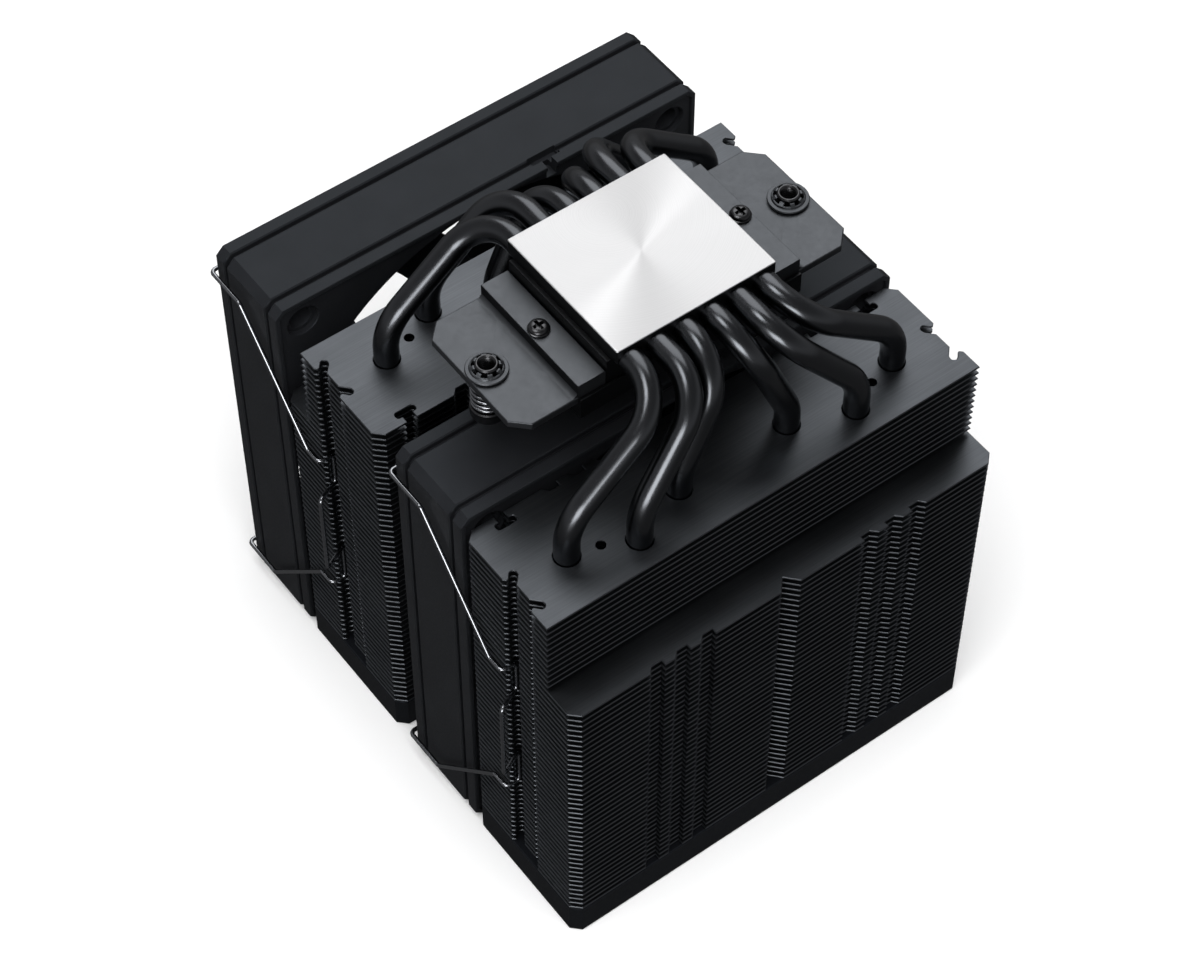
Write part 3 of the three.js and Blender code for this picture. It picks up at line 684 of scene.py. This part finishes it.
def fin_shell(long_fin):
    """The highest fin of a tower. Its upper edge is broken all round."""
    depth = TOWER_OUTER_Y - TOWER_INNER_Y if long_fin else SHORT_FIN_DEPTH
    outline = fin_outline(depth, long_fin)
    low, top = FIN_TOP_Z - FIN_THICKNESS, FIN_TOP_Z
    hole_x, hole_y, hole_radius = FIN_HOLE
    rings = [circle(PIPE_HOLE_RADIUS, 24, place) for place in PIPE_PLACES]
    rings += [circle(hole_radius, 16, (side * hole_x, hole_y)) for side in (-1, 1)]
    levels = [(low, outline), (top - FIN_EDGE, outline), (top, inset(outline, FIN_EDGE))]
    return Shell().stack(levels, [[(low, ring), (top, ring)] for ring in rings])


def fin_stack():
    short, long_fin, stack = fin_shell(False), fin_shell(True), Shell()
    for index in range(FIN_COUNT):
        stack.add(short if index < SHORT_FINS else long_fin, -index * FIN_PITCH)
    return stack


def cover_shell():
    """A tower cover. It stands on its face, which has a sunk panel inside a narrow rim."""
    middle = (TOWER_INNER_Y + TOWER_OUTER_Y) / 2
    half_depth = (TOWER_OUTER_Y - TOWER_INNER_Y) / 2

    def outline(amount):
        points = cut_corners(TOWER_HALF_WIDTH, half_depth, FIN_CORNER_CUT)
        return inset([(x, y + middle) for x, y in points], amount)

    edge, soft = COVER_PANEL_EDGE, COVER_SOFT_EDGE
    levels = [
        (COVER_PANEL_DEPTH, outline(edge + 0.2)), (0.1, outline(edge + 0.1)), (0.0, outline(edge)),
        (0.0, outline(soft)), (0.1, outline(0.1)), (soft, outline(0)),
        (COVER_HEIGHT - soft, outline(0)), (COVER_HEIGHT, outline(soft)),
    ]  # fmt: skip
    return Shell().stack(levels)


def add_towers():
    for tower, place in (("intake", COOLER), ("exhaust", TURNED_COOLER)):
        fins, cover = [f"{tower}_tower_fins"], [f"{tower}_tower_cover"]
        add_piece(f"{tower}_fins", fin_stack(), FIN, "heatsink", fins, place, FIN_SMOOTH)
        add_piece(f"{tower}_cover", cover_shell(), COVER, "heatsink", cover, place)


# Base -------------------------------------

BLOCK_HALF_WIDTH = 22.5
BLOCK_FOOT_TOP = 140.3
# The lip across each end of the block's foot.
BLOCK_LIP_END = 18.3
BLOCK_LIP_SUNK = 0.3
BLOCK_LIP_TOP = 142.3
GROOVE_CLEARANCE = 0.05
BRACKET_STEP_X = 30.0
BRACKET_WING_TOP = 142.6
BRACKET_CORNER_CUT = 3.8
BRACKET_FILLET = 1.5
# Above this height the step's wall gets the block's dark paint: painted shade, standing in for the dark
# reflection on the bracket's wall.
PAINTED_SHADE_WALL_Z = 143.0
BARREL_RADIUS = 2.6
THREAD_RADIUS = 1.75
THREAD_TURNS = 12
THREAD_PITCH = 0.7
RING_TEETH = 8
SPRING_WIRE = 0.42
SPRING_TURNS = 6
SPRING_STEPS = 28
# The share of a spring's turns at each end that is closed up, and the share of its height there.
SPRING_CLOSED = 0.16
SPRING_CLOSED_RISE = 0.07


def pipe_cutters():
    reach, radius = plate_high.y + 1, PIPE_RADIUS + GROOVE_CLEARANCE
    places = [side * kind["base_x"] for kind in PIPE_KINDS for side in (-1, 1)]
    paths = [[(x, -reach, PIPE_Z), (x, reach, PIPE_Z)] for x in places]
    return [Shell().sweep(path, radius, 32, round_ends=False) for path in paths]


def add_cold_plate():
    outline = cut_corners(plate_high.x, plate_high.y, 0.3)
    shell = Shell().stack(rounded_levels(outline, PIPE_Z, plate_high.z, 0.25, 2))
    mesh = combine(shell, pipe_cutters(), "DIFFERENCE")
    piece = add_piece("cold_plate_looks", mesh, [BLOCK, PLATE], "heatsink", ["cold_plate"])
    bright_from = (plate_high.z - 0.4) * MM
    for face in piece.data.polygons:
        face.material_index = int(face.center.z > bright_from)


def add_block():
    length, foot_x, low = block_high.y, block_high.x, block_low.z
    foot = box_shell((-foot_x, -length, low), (foot_x, length, BLOCK_FOOT_TOP))
    core_low = (-BLOCK_HALF_WIDTH, -length, low + 1)
    core = box_shell(core_low, (BLOCK_HALF_WIDTH, length, PIPE_Z - GROOVE_CLEARANCE))
    ends = [(-BLOCK_LIP_END - BLOCK_LIP_SUNK, -length), (length - BLOCK_LIP_SUNK, BLOCK_LIP_END)]
    lips = [
        box_shell((-foot_x, low_y, low), (foot_x, high_y, BLOCK_LIP_TOP), 0.15) for low_y, high_y in ends
    ]
    mesh = combine(combine(foot, [core, *lips], "UNION"), pipe_cutters(), "DIFFERENCE")
    add_piece("block", mesh, BLOCK, "heatsink", ["base_block"])


def bracket_fillet(half_length):
    """The hollow round between a bracket's wing and its step."""
    corner_x, corner_z, radius, sunk = BRACKET_STEP_X, BRACKET_WING_TOP, BRACKET_FILLET, 0.4
    section = [(corner_x - sunk, corner_z - sunk), (corner_x + radius, corner_z - sunk)]
    for step in range(7):
        angle = math.pi / 12 * step
        around = radius * (1 - math.sin(angle)), radius * (1 - math.cos(angle))
        section.append((corner_x + around[0], corner_z + around[1]))
    section.append((corner_x - sunk, corner_z + radius))
    return Shell().loft([[(x, y, z) for x, z in section] for y in (half_length, -half_length)])


def bracket_mesh():
    inner_x, outer_x, half_length = bracket_low.x, bracket_high.x, bracket_high.y
    low, top, cut = bracket_low.z, BRACKET_WING_TOP, BRACKET_CORNER_CUT
    outline = [
        (inner_x, -half_length), (outer_x - cut, -half_length), (outer_x, -half_length + cut),
        (outer_x, half_length - cut), (outer_x - cut, half_length), (inner_x, half_length),
    ]  # fmt: skip
    hole = circle(BARREL_RADIUS + 0.3, 40, (SCREW_X, 0))
    levels = rounded_levels(round_corners(outline, 0.5, 3), low, top, 0.3)
    wing = Shell().stack(levels, [[(low, hole), (top, hole)]])
    strip_high = (BRACKET_STEP_X, half_length, bracket_high.z)
    strip = box_shell((inner_x, -half_length, low + 0.5), strip_high, 0.25)
    return combine(wing, [strip, bracket_fillet(half_length - 0.25)], "UNION")


def cross_cutters(place, size, width, depth):
    """The two tapered slots of a cross recess, cut down from place."""
    x, y, z = place
    cutters = []
    for half_x, half_y in ((size, width), (width, size)):
        low_x, low_y = half_x * 0.55, half_y * 0.7
        levels = [
            (z - depth, rectangle(x - low_x, y - low_y, x + low_x, y + low_y)),
            (z + 0.5, rectangle(x - half_x, y - half_y, x + half_x, y + half_y)),
        ]
        cutters.append(Shell().stack(levels))
    return cutters


def fixing_screw_mesh(side):
    """A pan-head screw with a cross recess that holds a bracket."""
    x, seat, radius = side * FIXING_X, bracket_high.z + 0.05, fixing_high.x - FIXING_X + 0.2
    top = fixing_high.z
    profile = [
        (0, seat - 4), (1.3, seat - 4), (1.3, seat), (radius, seat), (radius + 0.1, seat + 0.15),
        (radius + 0.1, seat + 0.4), (radius - 0.1, seat + 0.5), (radius - 0.1, seat + 0.85),
        (radius - 0.3, seat + 1.2), (radius - 0.8, top - 0.12), (radius - 1.4, top), (0, top),
    ]  # fmt: skip
    head = Shell().lathe(profile, 40, (x, 0))
    return combine(head, cross_cutters((x, 0, top), 1.65, 0.52, 1.1), "DIFFERENCE")


def spring_screw_mesh(side):
    """A black shouldered screw: head below, threaded barrel open at the top."""
    x, low, top = side * SCREW_X, screw_low.z, screw_high.z
    head, barrel, thread = screw_high.x - SCREW_X, BARREL_RADIUS, THREAD_RADIUS
    shoulder = low + 3.6
    profile = [
        (0, low), (head - 1.2, low), (head - 0.3, low + 0.35), (head, low + 1.0),
        (head, shoulder - 0.3), (head - 0.3, shoulder), (barrel, shoulder),
        (barrel, top - 2.6), (barrel - 0.3, top - 2.3), (barrel - 0.3, top - 1.7),
        (barrel, top - 1.4), (barrel, top - 0.35), (barrel - 0.3, top),
        (thread + 0.35, top), (thread, top - 0.4),
    ]  # fmt: skip
    for turn in range(THREAD_TURNS):
        z = top - 0.4 - turn * THREAD_PITCH
        profile += [(thread + 0.22, z - THREAD_PITCH / 2), (thread, z - THREAD_PITCH)]
    profile += [(thread, top - 9.0), (0, top - 9.6)]
    turned = Matrix.Translation((x, 0, low)) @ Matrix.Rotation(math.pi, 4, "X")
    cutters = [shell.placed(turned) for shell in cross_cutters((0, 0, 0), 2.2, 0.5, 1.8)]
    return combine(Shell().lathe(profile, 40, (x, 0)), cutters, "DIFFERENCE")


def retaining_ring_mesh(side):
    """A push-on ring: a flat washer whose raised inner teeth grip the barrel."""
    x, low, radius = side * SCREW_X, ring_low.z, ring_high.x - SCREW_X
    grip = BARREL_RADIUS + 0.1
    section = [
        (grip + 0.75, low), (radius + 0.1, low), (radius + 0.15, low + 0.35), (radius, low + 0.55),
        (grip + 1.25, low + 0.62), (grip + 1.05, low + 1.0), (grip + 0.75, low + 1.1),
    ]  # fmt: skip
    teeth = []
    for index in range(RING_TEETH):
        levels = [
            (low + 0.25, rectangle(grip + 0.05, -0.62, grip + 1.1, 0.62)),
            (low + 1.05, rectangle(grip, -0.55, grip + 1.0, 0.55)),
            (low + 1.5, rectangle(grip, -0.5, grip + 0.35, 0.5)),
        ]
        turn = Matrix.Rotation(2 * math.pi * (index + 0.5) / RING_TEETH, 4, "Z")
        teeth.append(Shell().stack(levels).placed(turn))
    mesh = combine(Shell().lathe(section, 56), teeth, "UNION")
    mesh.transform(Matrix.Translation((x, 0, 0)))
    return mesh


def spring_rise(share):
    """How far up a spring its wire is after a share of its turns. The end coils are closed up."""
    closed, rise = SPRING_CLOSED, SPRING_CLOSED_RISE
    if share < closed:
        return share / closed * rise
    if share > 1 - closed:
        return 1 - (1 - share) / closed * rise
    return rise + (share - closed) / (1 - 2 * closed) * (1 - 2 * rise)


def spring_shell(side):
    radius = spring_high.x - SCREW_X - SPRING_WIRE + 0.1
    low, high = spring_low.z + SPRING_WIRE, spring_high.z - SPRING_WIRE
    count = SPRING_TURNS * SPRING_STEPS
    path = []
    for step in range(count + 1):
        angle = 2 * math.pi * step / SPRING_STEPS
        x, y = side * SCREW_X + radius * math.cos(angle), radius * math.sin(angle)
        path.append((x, y, low + (high - low) * spring_rise(step / count)))
    return Shell().sweep(path, SPRING_WIRE, 12)


def add_bracket(label, side, mesh):
    place = COOLER if side > 0 else TURNED_COOLER
    node, screw_node = f"bracket_{label}", f"bracket_screw_{label}"
    looks = [BRACKET, BLOCK]
    piece = add_piece(f"mounting_{node}", mesh, looks, "heatsink", [node], place)
    # Upright faces of the step's wall high up get the block's dark paint: painted shade on a bracket
    # that is one paint.
    for face in piece.data.polygons:
        face.material_index = int(abs(face.normal.x) > 0.95 and face.center.z > PAINTED_SHADE_WALL_Z * MM)
    screw = fixing_screw_mesh(side)
    add_piece(f"fixing_screw_{label}", screw, BLACK_STEEL, "heatsink", [screw_node])


def add_spring_screw(label, side):
    screw, barrel = spring_screw_mesh(side), f"screw_barrel_{label}"
    node = f"spring_screw_{label}"
    add_piece(f"mounting_screw_{label}", screw, BLACK_STEEL, barrel, [node])
    ring, slider = retaining_ring_mesh(side), f"screw_slider_{label}"
    add_piece(f"push_ring_{label}", ring, BRACKET, slider, [f"retaining_ring_{label}"])
    coil = spring_shell(side)
    spring = add_piece(f"coil_spring_{label}", coil, STEEL, "heatsink", [f"spring_{label}"])
    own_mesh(spring)


def add_base():
    add_cold_plate()
    add_block()
    bracket = bracket_mesh()
    for label, side in SIDES.items():
        add_bracket(label, side, bracket.copy())
        add_spring_screw(label, side)


# Fans -------------------------------------

FLANGE_DEPTH = 3.4
GROOVE_WIDTH = 1.2
GROOVE_DEPTH = 1.5
FAN_CORNER_CUT = 2.1
DUCT_RADIUS = 58.0
HOLE_PLACE = 52.5
HUB_RADIUS = 20.0
HUB_START = 1.5
HUB_END = 19.0
HUB_WALL = 2.0
BLADE_COUNT = 9
FIRST_BLADE = math.radians(23)
BLADE_TIP = 56.4
BLADE_MIDDLE = 10.5
BLADE_STATIONS = 14
SECTION_STEPS = 12
MOTOR_PLATE = (22.5, 24.7)
STRUT_COUNT = 4
STRUT_STEPS = 12
CABLE_SLOT_X = 17.6
# How far a fan's faces are sunk inside their rim, the rim's width and the softening of its edges.
FACE_SUNK = 0.6
RIM_WIDTH = 1.25
RIM_SOFT = 0.3


def fan_place(fan):
    """From a fan's own coordinates to metres. Its +Z, from inlet to outlet, points along -Y."""
    middle = Matrix.Translation((0, INLET_Y[fan], FAN_Z))
    return COOLER @ middle @ Matrix.Rotation(math.pi / 2, 4, "X")


def both_ends(levels):
    """Levels at a fan's inlet followed by the same ones at its outlet."""
    return levels + [(FAN_DEPTH - z, ring) for z, ring in reversed(levels)]


def frame_outside():
    outline = cut_corners(FAN_HALF, FAN_HALF, FAN_CORNER_CUT)
    soft, start, end = RIM_SOFT, FLANGE_DEPTH, FLANGE_DEPTH + GROOVE_WIDTH
    steps = [
        (FACE_SUNK, RIM_WIDTH + 0.1), (0.1, RIM_WIDTH), (0.0, RIM_WIDTH - 0.15), (0.0, soft),
        (0.1, 0.1), (soft, 0), (start - soft, 0), (start, soft), (start, GROOVE_DEPTH),
        (end, GROOVE_DEPTH), (end, soft), (end + soft, 0),
    ]  # fmt: skip
    return both_ends([(z, inset(outline, amount)) for z, amount in steps])


def frame_holes():
    """The duct and the four corner holes."""
    steps = [(0, 0.35), (0.15, 0.1), (0.5, 0)]
    duct = [(FACE_SUNK + depth, circle(DUCT_RADIUS + more, 128)) for depth, more in steps]
    holes = [both_ends(duct)]
    steps = [(0, 4.4), (0.2, 4.2), (1.3, 4.1), (1.3, 3.0), (1.8, 2.8), (6.5 - FACE_SUNK, 2.3)]
    for x in (-HOLE_PLACE, HOLE_PLACE):
        for y in (-HOLE_PLACE, HOLE_PLACE):
            hole = [(FACE_SUNK + depth, circle(radius, 32, (x, y))) for depth, radius in steps]
            holes.append(both_ends(hole))
    return holes


def cable_cutters():
    """The slot in the outlet flange for the cable, and the wider pocket in the groove behind it."""
    x, top, flange = CABLE_SLOT_X, FAN_HALF, FAN_DEPTH - FLANGE_DEPTH
    slot = box_shell((x - 1.4, top - 4.0, FAN_DEPTH - 4.0), (x + 1.4, top + 2, FAN_DEPTH + 1))
    low, high = (x - 4.0, top - 2.2, flange - GROOVE_WIDTH - 0.5), (x + 4.0, top + 2, flange + 0.9)
    return [slot, box_shell(low, high)]


def frame_mesh():
    return combine(Shell().stack(frame_outside(), frame_holes()), cable_cutters(), "DIFFERENCE")


def strut_shell(angle):
    """One motor strut: a rounded bar that curves a little on its way to the duct."""
    low, high = MOTOR_PLATE
    start, end = HUB_RADIUS - 3, DUCT_RADIUS + 0.3
    rings = []
    for step in range(STRUT_STEPS + 1):
        share = step / STRUT_STEPS
        radius = start + share * (end - start)
        bow = math.sin(math.pi * share)
        half_width = 2.9 - 0.9 * bow
        section = round_corners(rectangle(-half_width, low, half_width, high), 0.5, 3)
        turn = Matrix.Rotation(angle + math.radians(6) * bow, 3, "Z")
        rings.append([turn @ Vector((radius, across, z)) for across, z in section])
    return Shell().loft(rings)


def motor_mount_mesh():
    (low, high), hub = MOTOR_PLATE, HUB_RADIUS
    profile = [
        (0, low), (hub - 0.4, low), (hub, low + 0.3), (hub, high - 0.5), (hub - 0.5, high),
        (hub - 2.2, high), (hub - 2.5, high - 0.3), (hub - 3.4, high - 0.3), (hub - 3.7, high),
        (0, high),
    ]  # fmt: skip
    plate = Shell().lathe(profile, 72)
    struts = [strut_shell(math.pi * (2 * index + 1) / STRUT_COUNT) for index in range(STRUT_COUNT)]
    tube = [(3.1, 8.0), (4.0, 8.0), (4.3, 8.3), (4.3, low + 0.4), (3.1, low + 0.4)]
    return combine(plate, [*struts, Shell().lathe(tube, 40)], "UNION")


def blade_section(share):
    """A blade's section at a share of its length, as (distance along the chord, offset from it)."""
    chord = 14 + 9.5 * math.sin(min(share * 1.25, 1) * math.pi / 2)
    thickness = 1.7 - 0.7 * share
    upper, lower = [], []
    for step in range(SECTION_STEPS + 1):
        along = step / SECTION_STEPS
        hump = 4 * along * (1 - along)
        half = thickness * hump**0.6 / 2 + 0.12
        upper.append(((along - 0.5) * chord, half - 1.6 * hump))
        lower.append(((along - 0.5) * chord, -half - 1.6 * hump))
    return upper + lower[::-1]


def blade_shell(angle):
    """A fan blade: its pitch flattens and its edge sweeps forward on the way to the tip."""
    root = HUB_RADIUS - 0.9
    rings = []
    for station in range(BLADE_STATIONS + 1):
        share = station / BLADE_STATIONS
        radius = root + share * (BLADE_TIP - root)
        pitch = math.radians(-43 + 16 * share)
        forward = angle + math.radians(15) * share**1.4
        ring = []
        for along, off in blade_section(share):
            turn = forward + (along * math.cos(pitch) - off * math.sin(pitch)) / radius
            depth = BLADE_MIDDLE + along * math.sin(pitch) + off * math.cos(pitch)
            ring.append((radius * math.cos(turn), radius * math.sin(turn), depth))
        rings.append(ring)
    return Shell().loft(rings)


def rotor_mesh():
    hub, start, end, inner = HUB_RADIUS, HUB_START, HUB_END, HUB_RADIUS - HUB_WALL
    profile = [
        (0, start + 0.25), (7.4, start + 0.25), (7.7, start + 0.05), (15.6, start),
        (15.9, start + 0.2), (16.5, start + 0.2), (16.8, start + 0.02), (hub - 1.6, start + 0.05),
        (hub - 0.8, start + 0.25), (hub - 0.25, start + 0.8), (hub, start + 1.6), (hub, end - 0.2),
        (hub - 0.2, end), (inner + 0.2, end), (inner, end - 0.2), (inner, start + HUB_WALL),
        (0, start + HUB_WALL),
    ]  # fmt: skip
    angles = [FIRST_BLADE + 2 * math.pi * index / BLADE_COUNT for index in range(BLADE_COUNT)]
    return combine(Shell().lathe(profile, 96), [blade_shell(angle) for angle in angles], "UNION")


def add_fans():
    shell, mount, rotor = frame_mesh(), motor_mount_mesh(), rotor_mesh()
    for fan in INLET_Y:
        place, turning = fan_place(fan), f"{fan}_rotor"
        frame_node, rotor_node = [f"{fan}_fan_frame"], [f"{fan}_fan_rotor"]
        add_piece(f"{fan}_frame", shell.copy(), PLASTIC, "heatsink", frame_node, place)
        add_piece(f"{fan}_motor_mount", mount.copy(), PLASTIC, "heatsink", [], place)
        add_piece(f"{fan}_blades", rotor.copy(), ROTOR, turning, rotor_node, place)


# Wire clips -------------------------------

WIRE_RADIUS = 0.55
WIRE_BEND = 1.2
HOOK_DEPTH = 1.8
STAND_OFF = 0.8
SIDE_CLEARANCE = 1.3
SIDE_RUN = 11.2
NOTCH_BEHIND_INLET = FAN_DEPTH + 15.4
NOTCH_INSET = 2.65
NOTCH_LEAD = 4.4
NOTCH_HEIGHTS = (24, 13)
# How far the pull loop stands out of the fins, forward of the notch and beyond its inner height.
PULL_LOOP = (3.7, 3.1, 0.5)


def fin_gap(z):
    """The middle of the gap between two fins nearest to a height. Wires enter the fins there."""
    highest = FIN_TOP_Z - (FIN_PITCH + FIN_THICKNESS) / 2
    return highest - FIN_PITCH * round((highest - z) / FIN_PITCH)


def clip_half(way):
    """Half of a clip's wire, from its hook in a corner hole to its pull loop, as (x, distance behind
    the fan's inlet, z). Way is 1 for the upper half and -1 for the lower one."""
    beside, inside_x = TOWER_HALF_WIDTH + SIDE_CLEARANCE, TOWER_HALF_WIDTH - NOTCH_INSET
    back, hook, hook_z = NOTCH_BEHIND_INLET, HOLE_PLACE, FAN_Z + way * HOLE_PLACE
    outer_z, inner_z = (fin_gap(FAN_Z + way * height) for height in NOTCH_HEIGHTS)
    out, behind, beyond = PULL_LOOP
    return [
        (hook, HOOK_DEPTH, hook_z), (hook, -STAND_OFF, hook_z), (beside, -STAND_OFF, hook_z),
        (beside, SIDE_RUN, hook_z), (beside, back - NOTCH_LEAD, outer_z), (beside, back, outer_z),
        (inside_x, back, outer_z), (inside_x, back, inner_z),
        (TOWER_HALF_WIDTH + out, back + behind, inner_z + way * beyond),
    ]  # fmt: skip


def clip_shell(fan, side):
    corners = clip_half(1) + clip_half(-1)[::-1]
    corners = [(side * x, INLET_Y[fan] - back, z) for x, back, z in corners]
    path = bent_path(corners, [WIRE_BEND] * (len(corners) - 2), 8)
    return Shell().sweep(path, WIRE_RADIUS, 16)


def add_clips():
    for fan in INLET_Y:
        for label, side in SIDES.items():
            node, wire = f"{fan}_clip_{label}", clip_shell(fan, side)
            add_piece(f"{fan}_wire_{label}", wire, STEEL, f"{node}_body", [node])


# CAD nodes that stay ----------------------

INNER_PAINTS = {
    "shaft": STEEL,
    "magnet_ring": MAGNET,
    "bearing": BRONZE,
    "stator": WINDING,
    "circuit_board": BOARD,
}


def paint_inner_nodes():
    for fan in INLET_Y:
        for part, material in INNER_PAINTS.items():
            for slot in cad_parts[f"{fan}_fan_{part}"].material_slots:
                slot.material = material


# Floor and light --------------------------

FLOOR_REACH = 12
# The floor starts to glow, and is fully white, this far from the middle: its far end isn't dark.
FLOOR_GLOW = (0.5, 1.3)


def make_floor():
    mesh = bpy.data.meshes.new("floor")
    edges = rectangle(-FLOOR_REACH, -FLOOR_REACH, FLOOR_REACH, FLOOR_REACH)
    mesh.from_pydata([(x, y, -0.0002) for x, y in edges], [], [(0, 1, 2, 3)])
    paint = Paint("pale_floor", (0.9, 0.9, 0.9), 0.0, 0.9, Specular_IOR_Level=0.0)
    paint.vary_colour(paint.noise(3), 0.995, 1.005)
    distance = paint.node("ShaderNodeVectorMath", operation="LENGTH")
    paint.link(paint.coordinates, distance.inputs[0])
    glow = paint.scaled(distance.outputs["Value"], 0, 1, *FLOOR_GLOW)
    paint.shader.inputs["Emission Color"].default_value = (1, 1, 1, 1)
    paint.link(glow, paint.shader.inputs["Emission Strength"])
    mesh.materials.append(paint.material)
    floor = new_object("floor", mesh)
    floor.visible_glossy = False


def add_softbox(name, place, distance, size, power, glossy=True, diffuse=True):
    """A rectangular light that faces the cooler from a place given as (azimuth, elevation)."""
    towards = direction(*place)
    data = bpy.data.lights.new(name, "AREA")
    data.shape, data.size, data.size_y = "RECTANGLE", size[0], size[1]
    data.energy = power
    light = new_object(name, data)
    turn = towards.to_track_quat("Z", "Y").to_matrix().to_4x4()
    light.matrix_world = Matrix.Translation(Vector(CAMERA_TARGET) + towards * distance) @ turn
    light.visible_glossy, light.visible_diffuse = glossy, diffuse


def add_lights():
    add_softbox("top_light", (-42, 72), 1.8, (2.2, 2.2), 66, glossy=False)
    add_softbox("back_reflection", (143, 52), 1.4, (1.1, 1.1), 7.5, diffuse=False)
    add_softbox("front_left_card", (-50, 17), 1.3, (0.65, 0.6), 7.5, diffuse=False)
    add_softbox("high_left_card", (-105, 68), 1.3, (0.45, 0.45), 3.6, diffuse=False)


# Brightness of the world, from straight below (0) through the horizon (0.5) to straight above (1).
WORLD_BANDS = [
    (0.01, 0.07), (0.42, 0.1), (0.5, 0.25), (0.6, 0.3), (0.7, 0.24), (0.82, 0.14), (0.99, 0.14),
]  # fmt: skip


def make_world():
    """A soft grey surrounding with its bands of brightness. The camera sees plain white instead."""
    world = bpy.data.worlds.new("studio")
    bpy.context.scene.world = world
    world.use_nodes = True
    nodes, links = world.node_tree.nodes, world.node_tree.links
    coordinates = nodes.new("ShaderNodeTexCoord")
    split = nodes.new("ShaderNodeSeparateXYZ")
    height = nodes.new("ShaderNodeMapRange")
    height.inputs["From Min"].default_value = -1
    ramp = nodes.new("ShaderNodeValToRGB")
    for place, strength in WORLD_BANDS:
        stop = ramp.color_ramp.elements.new(place)
        stop.color = (strength, strength, strength * 1.02, 1)
    for extra in (ramp.color_ramp.elements[-1], ramp.color_ramp.elements[0]):
        ramp.color_ramp.elements.remove(extra)
    links.new(coordinates.outputs["Generated"], split.inputs["Vector"])
    links.new(split.outputs["Z"], height.inputs["Value"])
    links.new(height.outputs["Result"], ramp.inputs["Fac"])
    links.new(ramp.outputs["Color"], nodes["Background"].inputs["Color"])
    backdrop, choice = nodes.new("ShaderNodeBackground"), nodes.new("ShaderNodeMixShader")
    backdrop.inputs["Color"].default_value = (1, 1, 1, 1)
    links.new(nodes.new("ShaderNodeLightPath").outputs["Is Camera Ray"], choice.inputs["Fac"])
    links.new(nodes["Background"].outputs["Background"], choice.inputs[1])
    links.new(backdrop.outputs["Background"], choice.inputs[2])
    links.new(choice.outputs["Shader"], nodes["World Output"].inputs["Surface"])


def make_everything():
    add_heat_pipes()
    add_towers()
    add_base()
    add_fans()
    add_clips()
    paint_inner_nodes()
    make_floor()
    make_world()
    add_lights()
    bpy.context.scene.view_settings.view_transform = "Standard"


make_everything()
